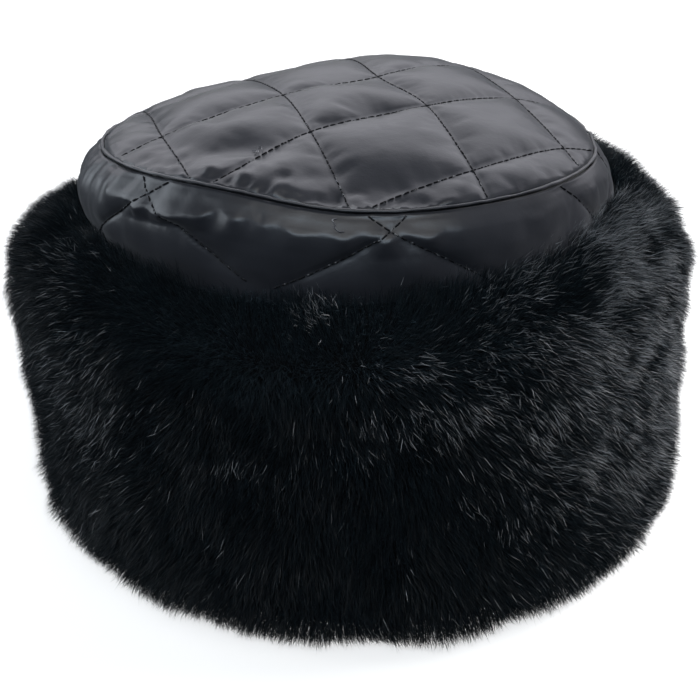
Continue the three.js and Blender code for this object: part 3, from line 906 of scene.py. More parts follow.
@dataclass
class CrownWall:
    """The side wall: padded satin quilted in diamonds, from the rim seam down to the hem."""

    form: HatForm
    finish: SatinFinish
    columns: int = 660
    first_drop: float = 0.6
    row_step: float = 0.95
    free_drop: float = 28.0
    quilt_depth: float = 22.0
    thickness: float = 3.5
    start_puff: float = 0.7
    groove: float = 0.7
    groove_reach: float = 2.0
    groove_width: float = 7.0
    gather_reach: float = 13.0
    gathers_by_angle: tuple[float, ...] = (0, 0, 0, 0, 0.2, 0.3, 0.35, 0.35, 0.25, 0.2, 0, 0)
    creases: Creases = Creases(
        pucker=0.5, pucker_size=10.0, slack=0.3, slack_size=20.0, seed=31, fold_stretch=0.1)
    shoulder_by_angle: tuple[float, ...] = (
        5, 5, 5, 5, 5, 5, 5, 5, 5, 5, 5, 5, 4.8, 4.8, 5, 8.4, 7.6, 5.6, 6.0, 5.2, 5, 5, 5, 5)
    shoulder_slope: float = 0.75
    shoulder_waver: float = 0.65
    shoulder_size: float = 10.0
    shoulder_span: tuple[float, float] = (4.8, 13.0)
    least_knee: float = 0.2
    lines_right: tuple[tuple[float, float, float], ...] = (
        (-141.8, -116.9, 0), (-89, -65, 0.8), (-41, -25, 0), (12, 32, 0), (65, 85, 0),
        (118, 138, 0), (171, 191, 0))
    lines_left: tuple[tuple[float, float, float], ...] = (
        (-131.4, -151.7, 0), (-78.2, -100.8, 0), (-5, -25, 0), (52, 32, 0), (108, 88, 0),
        (165, 145, 0))
    belly_by_angle: tuple[float, ...] = (0, 0, 0, 0, 0, 2, 3, 2, 0, 0, 0, 0)
    belly_reach: float = 26.0
    flutes_by_angle: tuple[float, ...] = (0, 0, 0, 0, 0, 0.2, 0.45, 0.4, 0.1, 0, 0, 0)
    flute_size: float = 8.0
    flute_reach: float = 14.0
    flute_start: float = 2.0
    low_row_shares: tuple[float, ...] = (0.25, 0.6, 1.0)
    lining_drops: tuple[float, ...] = (3.6, 12, 22, 70)
    padding: PaddingRun = PaddingRun(pressure=0.25, least_ease=0.002)

    @property
    def lines(self) -> tuple[tuple[float, float, float], ...]:
        """All the stitch lines, those that lean to the right first."""
        return (*self.lines_right, *self.lines_left)

    def line_angle(self, line: tuple[float, float, float], drop: Array) -> Array:
        """Gives a stitch line's angle at each drop, from its two ends and its bow between them."""
        share = drop / self.quilt_depth
        return line[0] + (line[1] - line[0]) * share + 4 * line[2] * share * (1 - share)

    def shoulder(self, angle: Array, drop: Array) -> Array:
        """Works out how far the cloth rolls out just under the ridge.

        Args:
            angle: angles round the crown.
            drop: drops below the rim seam.

        Returns:
            How far each place is pushed out, in millimetres.
        """
        start, end = self.shoulder_span
        on_rim = self.form.ring(angle, 0, self.form.rim_height)
        waver = self.shoulder_waver * Ripple(self.shoulder_size, self.creases.seed + 2).at(on_rim)
        knee = periodic_curve(self.shoulder_by_angle, angle) + waver
        knee = np.maximum(knee, start + self.least_knee)
        share = np.minimum((drop - start) / (knee - start), (end - drop) / (end - knee))
        return self.shoulder_slope * (knee - start) * np.clip(share, 0, 1)

    def belly(self, angle: Array, drop: Array) -> Array:
        """Works out how far the cloth bulges, with the flutes that run down from the gathered seam.

        Args:
            angle: angles round the crown.
            drop: drops below the rim seam.

        Returns:
            How far each place is pushed out, in millimetres.
        """
        round_out = np.sin(math.pi * np.clip(drop / self.belly_reach, 0, 1))
        on_rim = self.form.ring(angle, 0, self.form.rim_height)
        wave = Ripple(self.flute_size, self.creases.seed + 3).at(on_rim)
        fade = np.clip(drop / self.flute_start, 0, 1) * np.exp(-np.maximum(drop, 0) / self.flute_reach)
        flutes = periodic_curve(self.flutes_by_angle, angle) * wave * fade
        return periodic_curve(self.belly_by_angle, angle) * round_out + flutes

    def line_gap(self, lines: Sequence[tuple[float, float, float]], angle: Array,
                 drop: Array) -> Array:
        """Measures the way round the wall to the nearest stitch line of one set."""
        gaps = [np.abs(turn_from(self.line_angle(line, drop), angle)) for line in lines]
        return np.min(gaps, axis=0) * math.radians(self.form.rim_half_width)

    def sheet(self) -> tuple[bpy.types.Object, Array, Array]:
        """Builds the outer side before it is swelled.

        Returns:
            The sheet, and for each corner whether a seam holds it and how much it is gathered.
        """
        drops = np.arange(self.first_drop, self.free_drop + self.row_step, self.row_step)
        step = FULL_TURN / self.columns
        angle = np.tile(np.arange(self.columns) * step, (len(drops), 1))
        held = np.zeros(angle.shape, bool)
        for line in self.lines:
            for row, at in enumerate(self.line_angle(line, drops)):
                column = round(at / step) % self.columns
                angle[row, column] = at
                held[row, column] = True
        drop = np.broadcast_to(drops[:, None], angle.shape)
        held[0] = True
        held[drops >= self.free_drop] = True
        right_gap = self.line_gap(self.lines_right, angle, drop)
        left_gap = self.line_gap(self.lines_left, angle, drop)
        nearest = np.minimum(right_gap, left_gap)
        free = np.sin(np.pi * np.clip(drop / self.free_drop, 0, 1))
        sunk = self.groove * np.exp(-(nearest / self.groove_reach) ** 2) * free
        right = 1 - np.exp(-right_gap / self.groove_width)
        left = 1 - np.exp(-left_gap / self.groove_width)
        out = self.form.wall_out(angle, drop) + 2 * self.start_puff * right * left * free - sunk
        points = self.form.ring(angle, out, self.form.rim_top(angle) - drop)
        near_rim = np.exp(-drop / self.gather_reach)
        gathered = np.clip(periodic_curve(self.gathers_by_angle, angle) * near_rim, 0, 1)
        out = out + self.creases.at(points, gathered, free) * ~held
        points = self.form.ring(angle, out, self.form.rim_top(angle) - drop)
        top = self.form.rim_top(angle[0])
        low_rows = []
        for share in self.low_row_shares:
            low = self.free_drop + (top - self.form.hem_height - self.free_drop) * share
            low_rows.append(self.form.ring(angle[0], self.form.wall_out(angle[0], low), top - low))
        points = np.concatenate([points, low_rows])
        held = np.concatenate([held, np.ones((len(low_rows), self.columns), bool)])
        gathered = np.concatenate([gathered, np.zeros((len(low_rows), self.columns))])
        rows = [list(range(k * self.columns, (k + 1) * self.columns)) for k in range(len(points))]
        faces = [face for upper, lower in zip(rows, rows[1:]) for face in strip(lower, upper)]
        piece = new_piece("crown_wall_quilting", points.reshape(-1, 3), faces)
        return piece, held.ravel(), gathered.ravel()

    def roll_over(self, points: Array) -> Array:
        """Pushes the swelled cloth out where it rolls over from the ridge to the wall.

        Args:
            points: the cloth's corners.

        Returns:
            The corners in their new places.
        """
        shares, angle = self.form.place_round(points)
        drop = self.form.rim_top(angle) - points[:, 2]
        push = self.shoulder(angle, drop) + self.belly(angle, drop)
        return points + unit(np.column_stack([shares, np.zeros(len(shares))])) * push[:, None]

    def build(self) -> bpy.types.Object:
        """Builds, pads, closes and dresses the wall.

        Returns:
            The wall.
        """
        piece, held, gathered = self.sheet()
        self.padding.swell(piece, held, gathered)
        move_corners(piece, self.roll_over(corners_of(piece)))
        upper, lower = (outer_ring(piece, self.form.axis, high) for high in (True, False))
        angle = self.form.place_round(corners_of(piece)[upper])[1]
        top = self.form.rim_top(angle)
        linings = []
        for fall in (*self.lining_drops, top - self.form.hem_height):
            out = self.form.wall_out(angle, fall) - self.thickness
            linings.append(self.form.ring(angle, out, top - fall))
        piece = line_and_close(piece, upper, linings, lower)
        piece.data.materials.append(self.finish.material())
        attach(piece, BODY)
        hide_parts("crown_side")
        return piece


@dataclass
class RimRidge:
    """The narrow folded ridge that stands on the rim seam."""

    form: HatForm
    finish: SatinFinish
    half_width: float = 0.65
    half_height: float = 0.4
    inset: float = 1.0
    lift: float = 0.3
    waver: float = 0.12
    waver_size: float = 9.0
    fatness: float = 0.18
    fatness_size: float = 14.0
    tube: float = 0.1
    segments: tuple[int, int] = (420, 10)
    seed: int = 5

    def build(self) -> bpy.types.Object:
        """Shapes a torus into the ridge.

        Returns:
            The ridge.
        """
        bpy.ops.object.select_all(action="DESELECT")
        bpy.ops.mesh.primitive_torus_add(
            major_segments=self.segments[0], minor_segments=self.segments[1],
            major_radius=1.0, minor_radius=self.tube)
        piece = bpy.context.object
        piece.name = "rim_ridge"
        ring = corners_of(piece) * MM
        angle = np.degrees(np.arctan2(ring[:, 1], ring[:, 0]))
        across = (np.hypot(ring[:, 0], ring[:, 1]) - 1.0) / self.tube
        up = ring[:, 2] / self.tube
        on_rim = self.form.ring(angle, self.form.rim_out(angle), self.form.rim_top(angle))
        uneven = Ripple(self.waver_size, self.seed).at(on_rim) * self.waver
        fat = 1 + self.fatness * Ripple(self.fatness_size, self.seed + 1).at(on_rim)
        out = self.form.rim_out(angle) - self.inset + across * self.half_width * fat + uneven
        height = self.form.rim_top(angle) + self.lift + up * self.half_height * fat + uneven
        move_corners(piece, self.form.ring(angle, out, height))
        piece.data.shade_smooth()
        piece.data.materials.append(self.finish.material())
        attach(piece, BODY)
        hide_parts("rim_welt")
        return piece


@dataclass(frozen=True)
class ThreadFinish:
    """Sewing thread, nearly black, with light flecks painted as highlights where it would catch the light.
    """

    name: str = "sewing_thread"
    dark: Colour = (0.0025, 0.0025, 0.0035)
    # The flecks' colour, a painted highlight
    light: Colour = (0.13, 0.132, 0.14)
    highlight_from: tuple[float, float] = (0.58, 0.68)
    highlight_fleck_size: float = 1.2
    twist_size: float = 0.3
    twist: float = 0.05
    roughness: float = 0.55
    shine: float = 0.25

    def material(self) -> bpy.types.Material:
        """Makes the finish's material.

        Returns:
            The material.
        """
        paint = Paint(self.name, {"Roughness": self.roughness, "Specular IOR Level": self.shine})
        paint.tone(paint.noise(self.highlight_fleck_size, 1), list(zip(self.highlight_from, (self.dark, self.light))))
        paint.bumps([(paint.noise(self.twist_size, 0), self.twist)])
        return paint.material


@dataclass
class Stitching:
    """Running stitches along the quilting lines."""

    form: HatForm
    top: CrownTop
    wall: CrownWall
    finish: ThreadFinish
    stitch_length: float = 2.4
    pitch: float = 3.0
    thread_radius: float = 0.31
    sides: int = 6
    straight_share: float = 0.72
    end_share: float = 0.14
    end_taper: float = 0.45
    end_facing: float = 0.9
    lift: float = 0.14
    stray: float = 0.12
    beyond: float = 40.0
    edge_gap: float = 0.4
    first_drop: float = 1.2
    steps_on_top: int = 521
    steps_on_wall: int = 90
    least_points: int = 8
    seed: int = 21

    def one_stitch(self) -> tuple[Array, list[tuple[int, ...]]]:
        """Models one stitch: a short thread with rounded ends, along X.

        Returns:
            Its points in millimetres and its faces.
        """
        bpy.ops.object.select_all(action="DESELECT")
        bpy.ops.mesh.primitive_cylinder_add(
            vertices=self.sides, radius=self.thread_radius * MM,
            depth=self.stitch_length * self.straight_share * MM, rotation=(0, math.pi / 2, 0))
        stitch = bpy.context.object
        bpy.ops.object.transform_apply(location=True, rotation=True, scale=True)
        for side in (-1, 1):
            bpy.ops.object.mode_set(mode="EDIT")
            bpy.ops.mesh.select_mode(type="FACE")
            bpy.ops.mesh.select_all(action="DESELECT")
            bpy.ops.object.mode_set(mode="OBJECT")
            for face in stitch.data.polygons:
                face.select = face.normal.x * side > self.end_facing
            bpy.ops.object.mode_set(mode="EDIT")
            reach = self.stitch_length * self.end_share * MM * side
            bpy.ops.mesh.extrude_region_move(TRANSFORM_OT_translate={"value": (reach, 0, 0)})
            bpy.ops.transform.resize(value=(1, self.end_taper, self.end_taper))
            bpy.ops.object.mode_set(mode="OBJECT")
        points = corners_of(stitch)
        faces = [tuple(face.vertices) for face in stitch.data.polygons]
        bpy.data.objects.remove(stitch)
        return points, faces

    def lines_on_top(self) -> list[Array]:
        """Follows the stitch lines of the top panel from edge to edge.

        Returns:
            Each line's points over the plain dome.
        """
        found = []
        far = self.form.rim_half_width + self.beyond
        reach = np.linspace(-far, far, self.steps_on_top)
        ways = [(np.full_like(reach, line), reach) for line in self.top.lines_a]
        ways += [(reach, np.full_like(reach, line)) for line in self.top.lines_b]
        for a, b in ways:
            plan = self.top.plan_point(a, b)
            plan = plan[self.form.dome_place(*plan.T)[2] > self.top.edge_inset + self.edge_gap]
            if len(plan) > self.least_points:
                found.append(np.column_stack([plan + self.form.axis, self.form.dome_height(*plan.T)]))
        return found

    def lines_on_wall(self) -> list[Array]:
        """Follows the stitch lines of the wall from the ridge down into the fur.

        Returns:
            Each line's points on the plain wall.
        """
        drop = np.linspace(self.first_drop, self.wall.free_drop, self.steps_on_wall)
        found = []
        for line in self.wall.lines:
            angle = self.wall.line_angle(line, drop)
            found.append(self.form.ring(
                angle, self.form.wall_out(angle, drop), self.form.rim_top(angle) - drop))
        return found

    def place(self, line: Array, outwards: Array, draw: np.random.Generator) -> list[Array]:
        """Places stitches along a line.

        Args:
            line: points along it, in millimetres.
            outwards: the cloth's outward direction at each point.
            draw: where the stitches' small unevenness comes from.

        Returns:
            A 3 by 4 placement for each stitch.
        """
        run = np.concatenate([[0], np.cumsum(np.linalg.norm(np.diff(line, axis=0), axis=1))])
        placed = []
        for at in np.arange(self.pitch / 2, run[-1] - self.stitch_length / 2, self.pitch):
            ends = [np.array([np.interp(s, run, line[:, k]) for k in range(3)])
                    for s in (at - self.stitch_length / 2, at + self.stitch_length / 2)]
            out = np.array([np.interp(at, run, outwards[:, k]) for k in range(3)])
            along = unit(ends[1] - ends[0] + draw.normal(scale=self.stray, size=3))
            side = unit(np.cross(out, along))
            up = np.cross(along, side)
            middle = (ends[0] + ends[1]) / 2 + up * self.lift
            placed.append(np.column_stack([along, side, up, middle]))
        return placed

    def build(self, top_cloth: bpy.types.Object, wall_cloth: bpy.types.Object) -> bpy.types.Object:
        """Joins all the stitches into one dressed piece.

        Args:
            top_cloth: the finished top panel.
            wall_cloth: the finished wall.

        Returns:
            The stitches.
        """
        draw = np.random.default_rng(self.seed)
        points, faces = self.one_stitch()
        centre = np.array([*self.form.axis, 0])
        seams = [(top_cloth, line, np.broadcast_to([0.0, 0.0, 1.0], line.shape))
                 for line in self.lines_on_top()]
        seams += [(wall_cloth, line, unit((line - centre) * [1, 1, 0])) for line in self.lines_on_wall()]
        placements = []
        for cloth, line, outwards in seams:
            placements.extend(self.place(lay_on(cloth, line, outwards), outwards, draw))
        corners, rings = [], []
        for placement in placements:
            rings.extend(tuple(corner + len(corners) * len(points) for corner in face) for face in faces)
            corners.append(points @ placement[:, :3].T + placement[:, 3])
        piece = new_piece("quilting_stitches", np.concatenate(corners), rings)
        piece.data.materials.append(self.finish.material())
        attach(piece, BODY)
        log.info("%d stitches", len(placements))
        return piece


@dataclass
class LooseThread:
    """A fine thread that has worked loose and lies curled on the cloth."""

    name: str
    knots: tuple[tuple[float, float, float], ...]
    outwards: tuple[float, float, float]
    finish: ThreadFinish
    radius: float = 0.17
    lift: float = 0.3
    steps_a_knot: int = 5

    def build(self, cloth: bpy.types.Object) -> bpy.types.Object:
        """Lays the thread on the cloth.

        Args:
            cloth: the panel that it lies on.

        Returns:
            The thread.
        """
        steps = np.linspace(0, len(self.knots) - 1, self.steps_a_knot * len(self.knots))
        whole = np.arange(len(self.knots))
        line = np.stack([np.interp(steps, whole, values) for values in zip(*self.knots)], axis=-1)
        out = np.broadcast_to(unit(np.array(self.outwards)), line.shape)
        laid = lay_on(cloth, line, out) + out * self.lift
        bpy.ops.object.select_all(action="DESELECT")
        bpy.ops.curve.primitive_nurbs_path_add()
        thread = bpy.context.object
        thread.name = self.name
        spline = thread.data.splines[0]
        spline.order_u = 3
        spline.use_endpoint_u = True
        spline.points.add(len(laid) - len(spline.points))
        for knot, place in zip(spline.points, laid * MM):
            knot.co = (*place, 1)
        thread.data.bevel_depth = self.radius * MM
        thread.data.bevel_resolution = 1
        bpy.ops.object.convert(target="MESH")
        thread = bpy.context.object
        thread.data.materials.append(self.finish.material())
        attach(thread, BODY)
        return thread


@dataclass(frozen=True)
class FurFinish:
    """Hair of deep black faux fur: darker at its roots as painted shade deep in the pile, with a soft cool
    shine.
    """

    name: str = "faux_fur_hair"
    # Root and body colours, darker than the tip: painted shade deep in the pile
    root: Colour = (0.001, 0.0013, 0.0017)
    body: Colour = (0.003, 0.0037, 0.0047)
    tip: Colour = (0.015, 0.0165, 0.0195)
    # The ramp's top colour, a painted highlight on the glinting hairs
    glint: Colour = (0.5, 0.5, 0.51)
    body_at: float = 0.4
    tip_at: float = 0.8
    roughness: float = 0.45
    shine: float = 0.28
    haze: float = 0.08
    haze_roughness: float = 0.6
    haze_tint: Colour = (0.5, 0.8, 1.0)

    def material(self) -> bpy.types.Material:
        """Makes the finish's material, whose tone follows each hair from root to tip, with painted shade
        at the root and a painted highlight at the top.

        Returns:
            The material.
        """
        paint = Paint(self.name, {
            "Roughness": self.roughness, "Specular IOR Level": self.shine, "Sheen Weight": self.haze,
            "Sheen Roughness": self.haze_roughness, "Sheen Tint": (*self.haze_tint, 1)})
        tone = paint.tree.nodes.new("ShaderNodeAttribute")
        tone.attribute_name = "hair_tone"
        paint.tone(tone.outputs["Fac"], (
            (0.0, self.root), (self.body_at, self.body), (self.tip_at, self.tip), (1.0, self.glint)))
        return paint.material


@dataclass(frozen=True)
class HideFinish:
    """The dark pile deep in the fur, between the hairs that show."""

    name: str = "fur_underside_pile"
    dark: Colour = (0.001, 0.0012, 0.0016)
    light: Colour = (0.003, 0.0036, 0.0045)
    tuft_size: float = 2.0
    roughness: float = 0.9
    shine: float = 0.15
    pile_size: float = 1.5
    pile: float = 0.8

    def material(self) -> bpy.types.Material:
        """Makes the finish's material.

        Returns:
            The material.
        """
        paint = Paint(self.name, {"Roughness": self.roughness, "Specular IOR Level": self.shine})
        paint.tone(paint.noise(self.tuft_size, 3), ((0.0, self.dark), (1.0, self.light)))
        paint.bumps([(paint.noise(self.pile_size, 2), self.pile)])
        return paint.material


@dataclass
class FurCuff:
    """The deep cuff of faux fur: a closed pile ring and the hairs that stand on it."""

    form: HatForm
    surface: CuffSurface
    hair_finish: FurFinish
    hide_finish: HideFinish
    seed: int = 77
    hair_count: int = 262_000
    foot_hairs: int = 8_000
    hairs_a_piece: int = 54_000
    offset_ratio: float = 1.7

    # The pile ring, its rows, and where it and the hairs end at the wall and the floor
    pile_depth: float = 8.0
    crest_depth: float = 3.0
    crest_start: float = 0.86
    last_place: float = 0.985
    pile_columns: int = 240
    pile_rows: int = 40
    inner_rows: int = 10
    first_inner_share: float = 0.02
    pile_floor: float = 1.5
    wall_gap: float = 0.6
    least_height: float = 0.25

    # How far the hairs stand out, and how much of that the roots and the ring follow
    stand_out: float = 1.2
    height_stray: float = 0.8
    swell: float = 1.1
    swell_size: float = 20.0
    crest_lift_by_angle: tuple[float, ...] = (3, -3, 0, 4, 4, 2.5, 1, -1, 1.5, 7, 11, 12)
    foot_end: float = 0.16
    foot_lift_by_angle: tuple[float, ...] = (0, 0, 0, 0, 0, 0, 0, 0, 0, 0, 4, 2)
    root_under: float = 0.8
    root_lift_share: float = 0.5
    foot_fall_share: float = 0.5

    # How the hairs lean down, at each place from the foot up, and sweep sideways
    lean: tuple[tuple[float, float], ...] = (
        (0.0, 1.5), (0.08, 2.2), (0.2, 2.8), (0.6, 3.0), (0.75, 3.2), (0.88, 2.8), (1.0, 1.5))
    down_waver: float = 1.1
    down_size: float = 30.0
    side_waver: float = 1.3
    side_size: float = 34.0
    sweep_by_angle: tuple[float, ...] = (1, 0, 0, 0, 0, 0, -0.3, -0.5, -0.3, 0.8, 1.8, 2.0)

    # The clumps, and the scatter of clumps and hairs in degrees and in share of the profile
    clump_size: float = 3.2
    clump_offset: float = 0.31
    clump_scatter: tuple[float, float] = (0.9, 0.012)
    hair_scatter: tuple[float, float] = (0.2, 0.003)
    mean_out: float = 30.0
    clump_stray: float = 1.7
    own_stray: float = 2.0
    gather: float = 0.28
    gather_spread: tuple[float, float] = (0.5, 1.2)

    # Each hair's blade, and where its middle lies between its root, its bend and its tip
    hair_half_width: float = 0.065
    glint_half_width: float = 0.095
    bend_reach: float = 0.55
    bend_stray: float = 0.5
    middle_weights: tuple[float, float, float] = (0.1, 0.44, 0.46)

    # Tones: a mean and a spread with limits for dark hairs, and limits for the glinting ones, whose light
    # tones are painted highlights
    dark_tones: tuple[float, float] = (0.5, 0.16)
    dark_limits: tuple[float, float] = (0.05, 0.8)
    # Dark hairs' middles take this share of their tip tone: painted shade
    dark_middle: float = 0.6
    glint_tones: tuple[float, float] = (0.86, 1.0)
    glint_middles: tuple[float, float] = (0.8, 1.0)

    # Glinting hairs, painted highlights: a share of all, and spots as angle, place, reach round and along,
    # and share
    glint_share: float = 0.009
    drift_size: float = 28.0
    glint_spots: tuple[tuple[float, float, float, float, float], ...] = (
        (-22, 0.6, 24, 0.36, 0.85), (-55, 0.62, 12, 0.24, 0.34), (-26, 0.92, 16, 0.1, 0.6),
        (-79, 0.71, 9, 0.06, 0.26), (-82, 0.83, 7, 0.06, 0.16), (-71, 0.8, 7, 0.07, 0.2),
        (-66, 0.92, 9, 0.07, 0.14), (-96, 0.94, 4, 0.05, 0.26), (-91, 0.62, 7, 0.035, 0.2),
        (-106, 0.57, 6, 0.03, 0.12), (-150, 0.82, 10, 0.14, 0.08),
        (-138, 0.58, 11, 0.16, 0.2), (-34, 0.77, 6, 0.06, -0.3))
    patchiness: tuple[float, float] = (0.9, 0.55)
    patch_size: float = 13.0

    # The flattened hairs on the underside
    foot_drop: float = 130.0
    foot_gap: float = 1.0
    foot_inset: float = 15.0
    foot_height: float = 3.0
    foot_turns: tuple[float, float] = (-3, 3)
    foot_reaches: tuple[float, float] = (3, 9)
    foot_tip_heights: tuple[float, float] = (0.3, 1.2)
    foot_bend_heights: tuple[float, float] = (0.5, 2.0)

    def pile_at(self, place: Array) -> Array:
        """How deep the pile ring lies under the hair's tips, thinner towards the wall."""
        share = np.clip((place - self.crest_start) / (1 - self.crest_start), 0, 1)
        return self.pile_depth + (self.crest_depth - self.pile_depth) * share

    def lift_at(self, angle: Array, place: Array) -> Array:
        """Works out how much further the hairs stand out beside the wall and at the cuff's foot.

        Args:
            angle: the hairs' angles.
            place: the hairs' places, from 0 at the foot to 1 at the crest.

        Returns:
            The lift of each hair, in millimetres.
        """
        high = np.clip((place - self.crest_start) / (1 - self.crest_start), 0, 1)
        low = np.clip(1 - place / self.foot_end, 0, 1)
        return (high * periodic_curve(self.crest_lift_by_angle, angle)
                + low * periodic_curve(self.foot_lift_by_angle, angle))

    def clear_of_wall(self, points: Array) -> Array:
        """Moves points that would enter the crown's wall out to its face.

        Args:
            points: rows of x, y and z.

        Returns:
            The points, clear of the wall.
        """
        angle = self.form.place_round(points)[1]
        fall = self.form.rim_top(angle) - points[:, 2]
        face = self.form.ring(angle, self.form.wall_out(angle, fall) + self.wall_gap, points[:, 2])
        reach, wanted = (
            np.linalg.norm(some[:, :2] - self.form.axis, axis=1) for some in (points, face))
        inside = (reach < wanted) & (fall > 0)
        return np.where(inside[:, None], face, points)

    def pile(self) -> bpy.types.Object:
        """Builds the closed ring that the hairs stand on.

        Returns:
            The ring.
        """
        columns = self.pile_columns
        angle = np.arange(columns) * FULL_TURN / columns
        rows = []
        for place in np.linspace(0, self.last_place, self.pile_rows):
            at = np.full_like(angle, place)
            lift = self.root_lift_share * self.lift_at(angle, at)
            row = self.surface.at(angle, at, self.pile_at(at) - lift)
            row[:, 2] = np.maximum(row[:, 2], self.pile_floor)
            rows.append(self.clear_of_wall(row))
        crest = rows[-1][:, 2]
        for share in np.linspace(self.first_inner_share, 1, self.inner_rows):
            height = crest + (self.pile_floor - crest) * share
            out = self.form.wall_out(angle, self.form.rim_top(angle) - height) + self.wall_gap
            rows.append(self.form.ring(angle, out, height))
        rings = [range(k * columns, (k + 1) * columns) for k in range(len(rows))]
        faces = [face for ring, after in zip(rings, [*rings[1:], rings[0]]) for face in strip(ring, after)]
        piece = new_piece("fur_pile_ring", np.concatenate(rows), faces)
        face_outwards(piece)
        piece.data.materials.append(self.hide_finish.material())
        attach(piece, BODY)
        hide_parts("fur_cuff")
        return piece

    def hair_places(self, count: int, offset: float) -> tuple[Array, Array]:
        """Spreads places evenly over the fur.

        Args:
            count: how many.
            offset: a shift that makes one spread differ from another.

        Returns:
            The angles and the places along the profile.
        """
        number = np.arange(count)
        angle = np.mod(offset + number * EVEN_STEPS[0], 1) * FULL_TURN
        place = np.mod(offset * self.offset_ratio + number * EVEN_STEPS[1], 1) * self.last_place
        return angle, place

    def tips(self, angle: Array, place: Array, stray: Array) -> tuple[Array, Array]:
        """Finds where the hairs' tips lie on the fur's outer side.

        Args:
            angle: the roots' angles.
            place: the roots' places.
            stray: for each hair, its own scatter sideways and down, in millimetres.

        Returns:
            The tips' angles and places.
        """
        points = self.surface.top(angle, place)
        down = np.interp(place, *zip(*self.lean))
        down = down + self.down_waver * Ripple(self.down_size, self.seed + 1).at(points) + stray[:, 1]
        side = self.side_waver * Ripple(self.side_size, self.seed + 2).at(points) + stray[:, 0]
        side = side + periodic_curve(self.sweep_by_angle, angle)
        turn = side / math.radians(self.form.rim_half_width + self.form.cuff_out_high)
        return angle + turn, place - down / self.surface.length

    def glinting_hairs(self, angle: Array, place: Array, draw: np.random.Generator) -> Array:
        """Picks the glinting hairs, whose light tones are painted highlights, more common in some patches.

        Args:
            angle: the roots' angles.
            place: the roots' places.
            draw: where the picking comes from.

        Returns:
            For each hair, whether it carries a painted highlight.
        """
        points = self.surface.top(angle, place)
        share = self.glint_share * np.clip(Ripple(self.drift_size, self.seed + 4).at(points), 0, 2)
        mean, spread = self.patchiness
        patchy = np.clip(mean + spread * Ripple(self.patch_size, self.seed + 5).at(points), 0, 2)
        for at_angle, at_place, reach_round, reach_along, most in self.glint_spots:
            gap = (turn_from(at_angle, angle) / reach_round) ** 2 + ((place - at_place) / reach_along) ** 2
            share = share + most * np.exp(-gap) * patchy
        return draw.uniform(0, 1, len(angle)) < share

    def strands(self, root: Array, bend: Array, tip: Array, draw: np.random.Generator,
                pale: Array) -> tuple[Array, Array]:
        """Makes each hair a narrow tapering blade.

        Args:
            root: the hairs' first points.
            bend: the points that they bend towards.
            tip: their last points.
            draw: where their small unevenness comes from.
            pale: for each hair, whether it carries a painted highlight.

        Returns:
            Five points a hair, and the tone at each of those.
        """
        count = len(root)
        side = unit(np.cross(tip - root, draw.normal(size=root.shape)))
        side = side * np.where(pale, self.glint_half_width, self.hair_half_width)[:, None]
        dark_tone = np.clip(draw.normal(*self.dark_tones, count), *self.dark_limits)
        # The glinting hairs' light tones are painted highlights
        glint_tone = draw.uniform(*self.glint_tones, count)
        glint_below = glint_tone * draw.uniform(*self.glint_middles, count)
        near, half, far = self.middle_weights
        middle = root * near + bend * half + tip * far
        middle_tone = np.where(pale, glint_below, self.dark_middle * dark_tone)
        tip_tone = np.where(pale, glint_tone, dark_tone)
        points = [root - side, root + side, middle - side, middle + side, tip]
        # Roots toned 0 and darker middles: painted shade deep in the pile
        tones = [np.zeros(count), np.zeros(count), middle_tone, middle_tone, tip_tone]
        return np.stack(points, axis=1), np.stack(tones, axis=1)

    def hair_piece(self, name: str, points: Array, tones: Array,
                   material: bpy.types.Material) -> bpy.types.Object:
        """Joins hairs into one piece.

        Args:
            name: the piece's name.
            points: five points for each hair, in millimetres.
            tones: the tone at each point.
            material: its finish.

        Returns:
            The piece.
        """
        count = len(points)
        start = (np.arange(count) * points.shape[1])[:, None]
        quads = start + [0, 1, 3, 2]
        ends = start + [2, 3, 4]
        mesh = bpy.data.meshes.new(name)
        mesh.vertices.add(points.shape[0] * points.shape[1])
        mesh.vertices.foreach_set("co", (points * MM).ravel())
        corners = np.concatenate([quads.ravel(), ends.ravel()])
        mesh.loops.add(len(corners))
        mesh.loops.foreach_set("vertex_index", corners)
        sizes = np.concatenate([np.full(len(quads), 4), np.full(count, 3)])
        mesh.polygons.add(len(sizes))
        mesh.polygons.foreach_set("loop_start", np.concatenate([[0], np.cumsum(sizes)[:-1]]))
        mesh.update(calc_edges=True)
        mesh.shade_smooth()
        tone = mesh.attributes.new("hair_tone", "FLOAT", "POINT")
        tone.data.foreach_set("value", tones.astype(np.float32).ravel())
        mesh.materials.append(material)
        piece = bpy.data.objects.new(name, mesh)
        bpy.context.scene.collection.objects.link(piece)
        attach(piece, BODY)
        return piece

    def clumps(self, draw: np.random.Generator) -> tuple[kdtree.KDTree, Array, Array]:
        """Places the clumps that the hairs gather into.

        Args:
            draw: where their unevenness comes from.

        Returns:
            A tree of the clumps' roots, and the angles and the places of their tips.
        """
        area = self.surface.length * 2 * math.pi * (self.form.rim_half_width + self.mean_out)
        count = int(area / self.clump_size ** 2)
        angle, place = self.hair_places(count, self.clump_offset)
        angle = angle + draw.normal(scale=self.clump_scatter[0], size=count)
        place = np.clip(place + draw.normal(scale=self.clump_scatter[1], size=count), 0, 1)
        tree = kdtree.KDTree(count)
        for number, point in enumerate(self.surface.top(angle, place)):
            tree.insert(point, number)
        tree.balance()
        stray = draw.normal(scale=self.clump_stray, size=(count, 2))
        return tree, *self.tips(angle, place, stray)

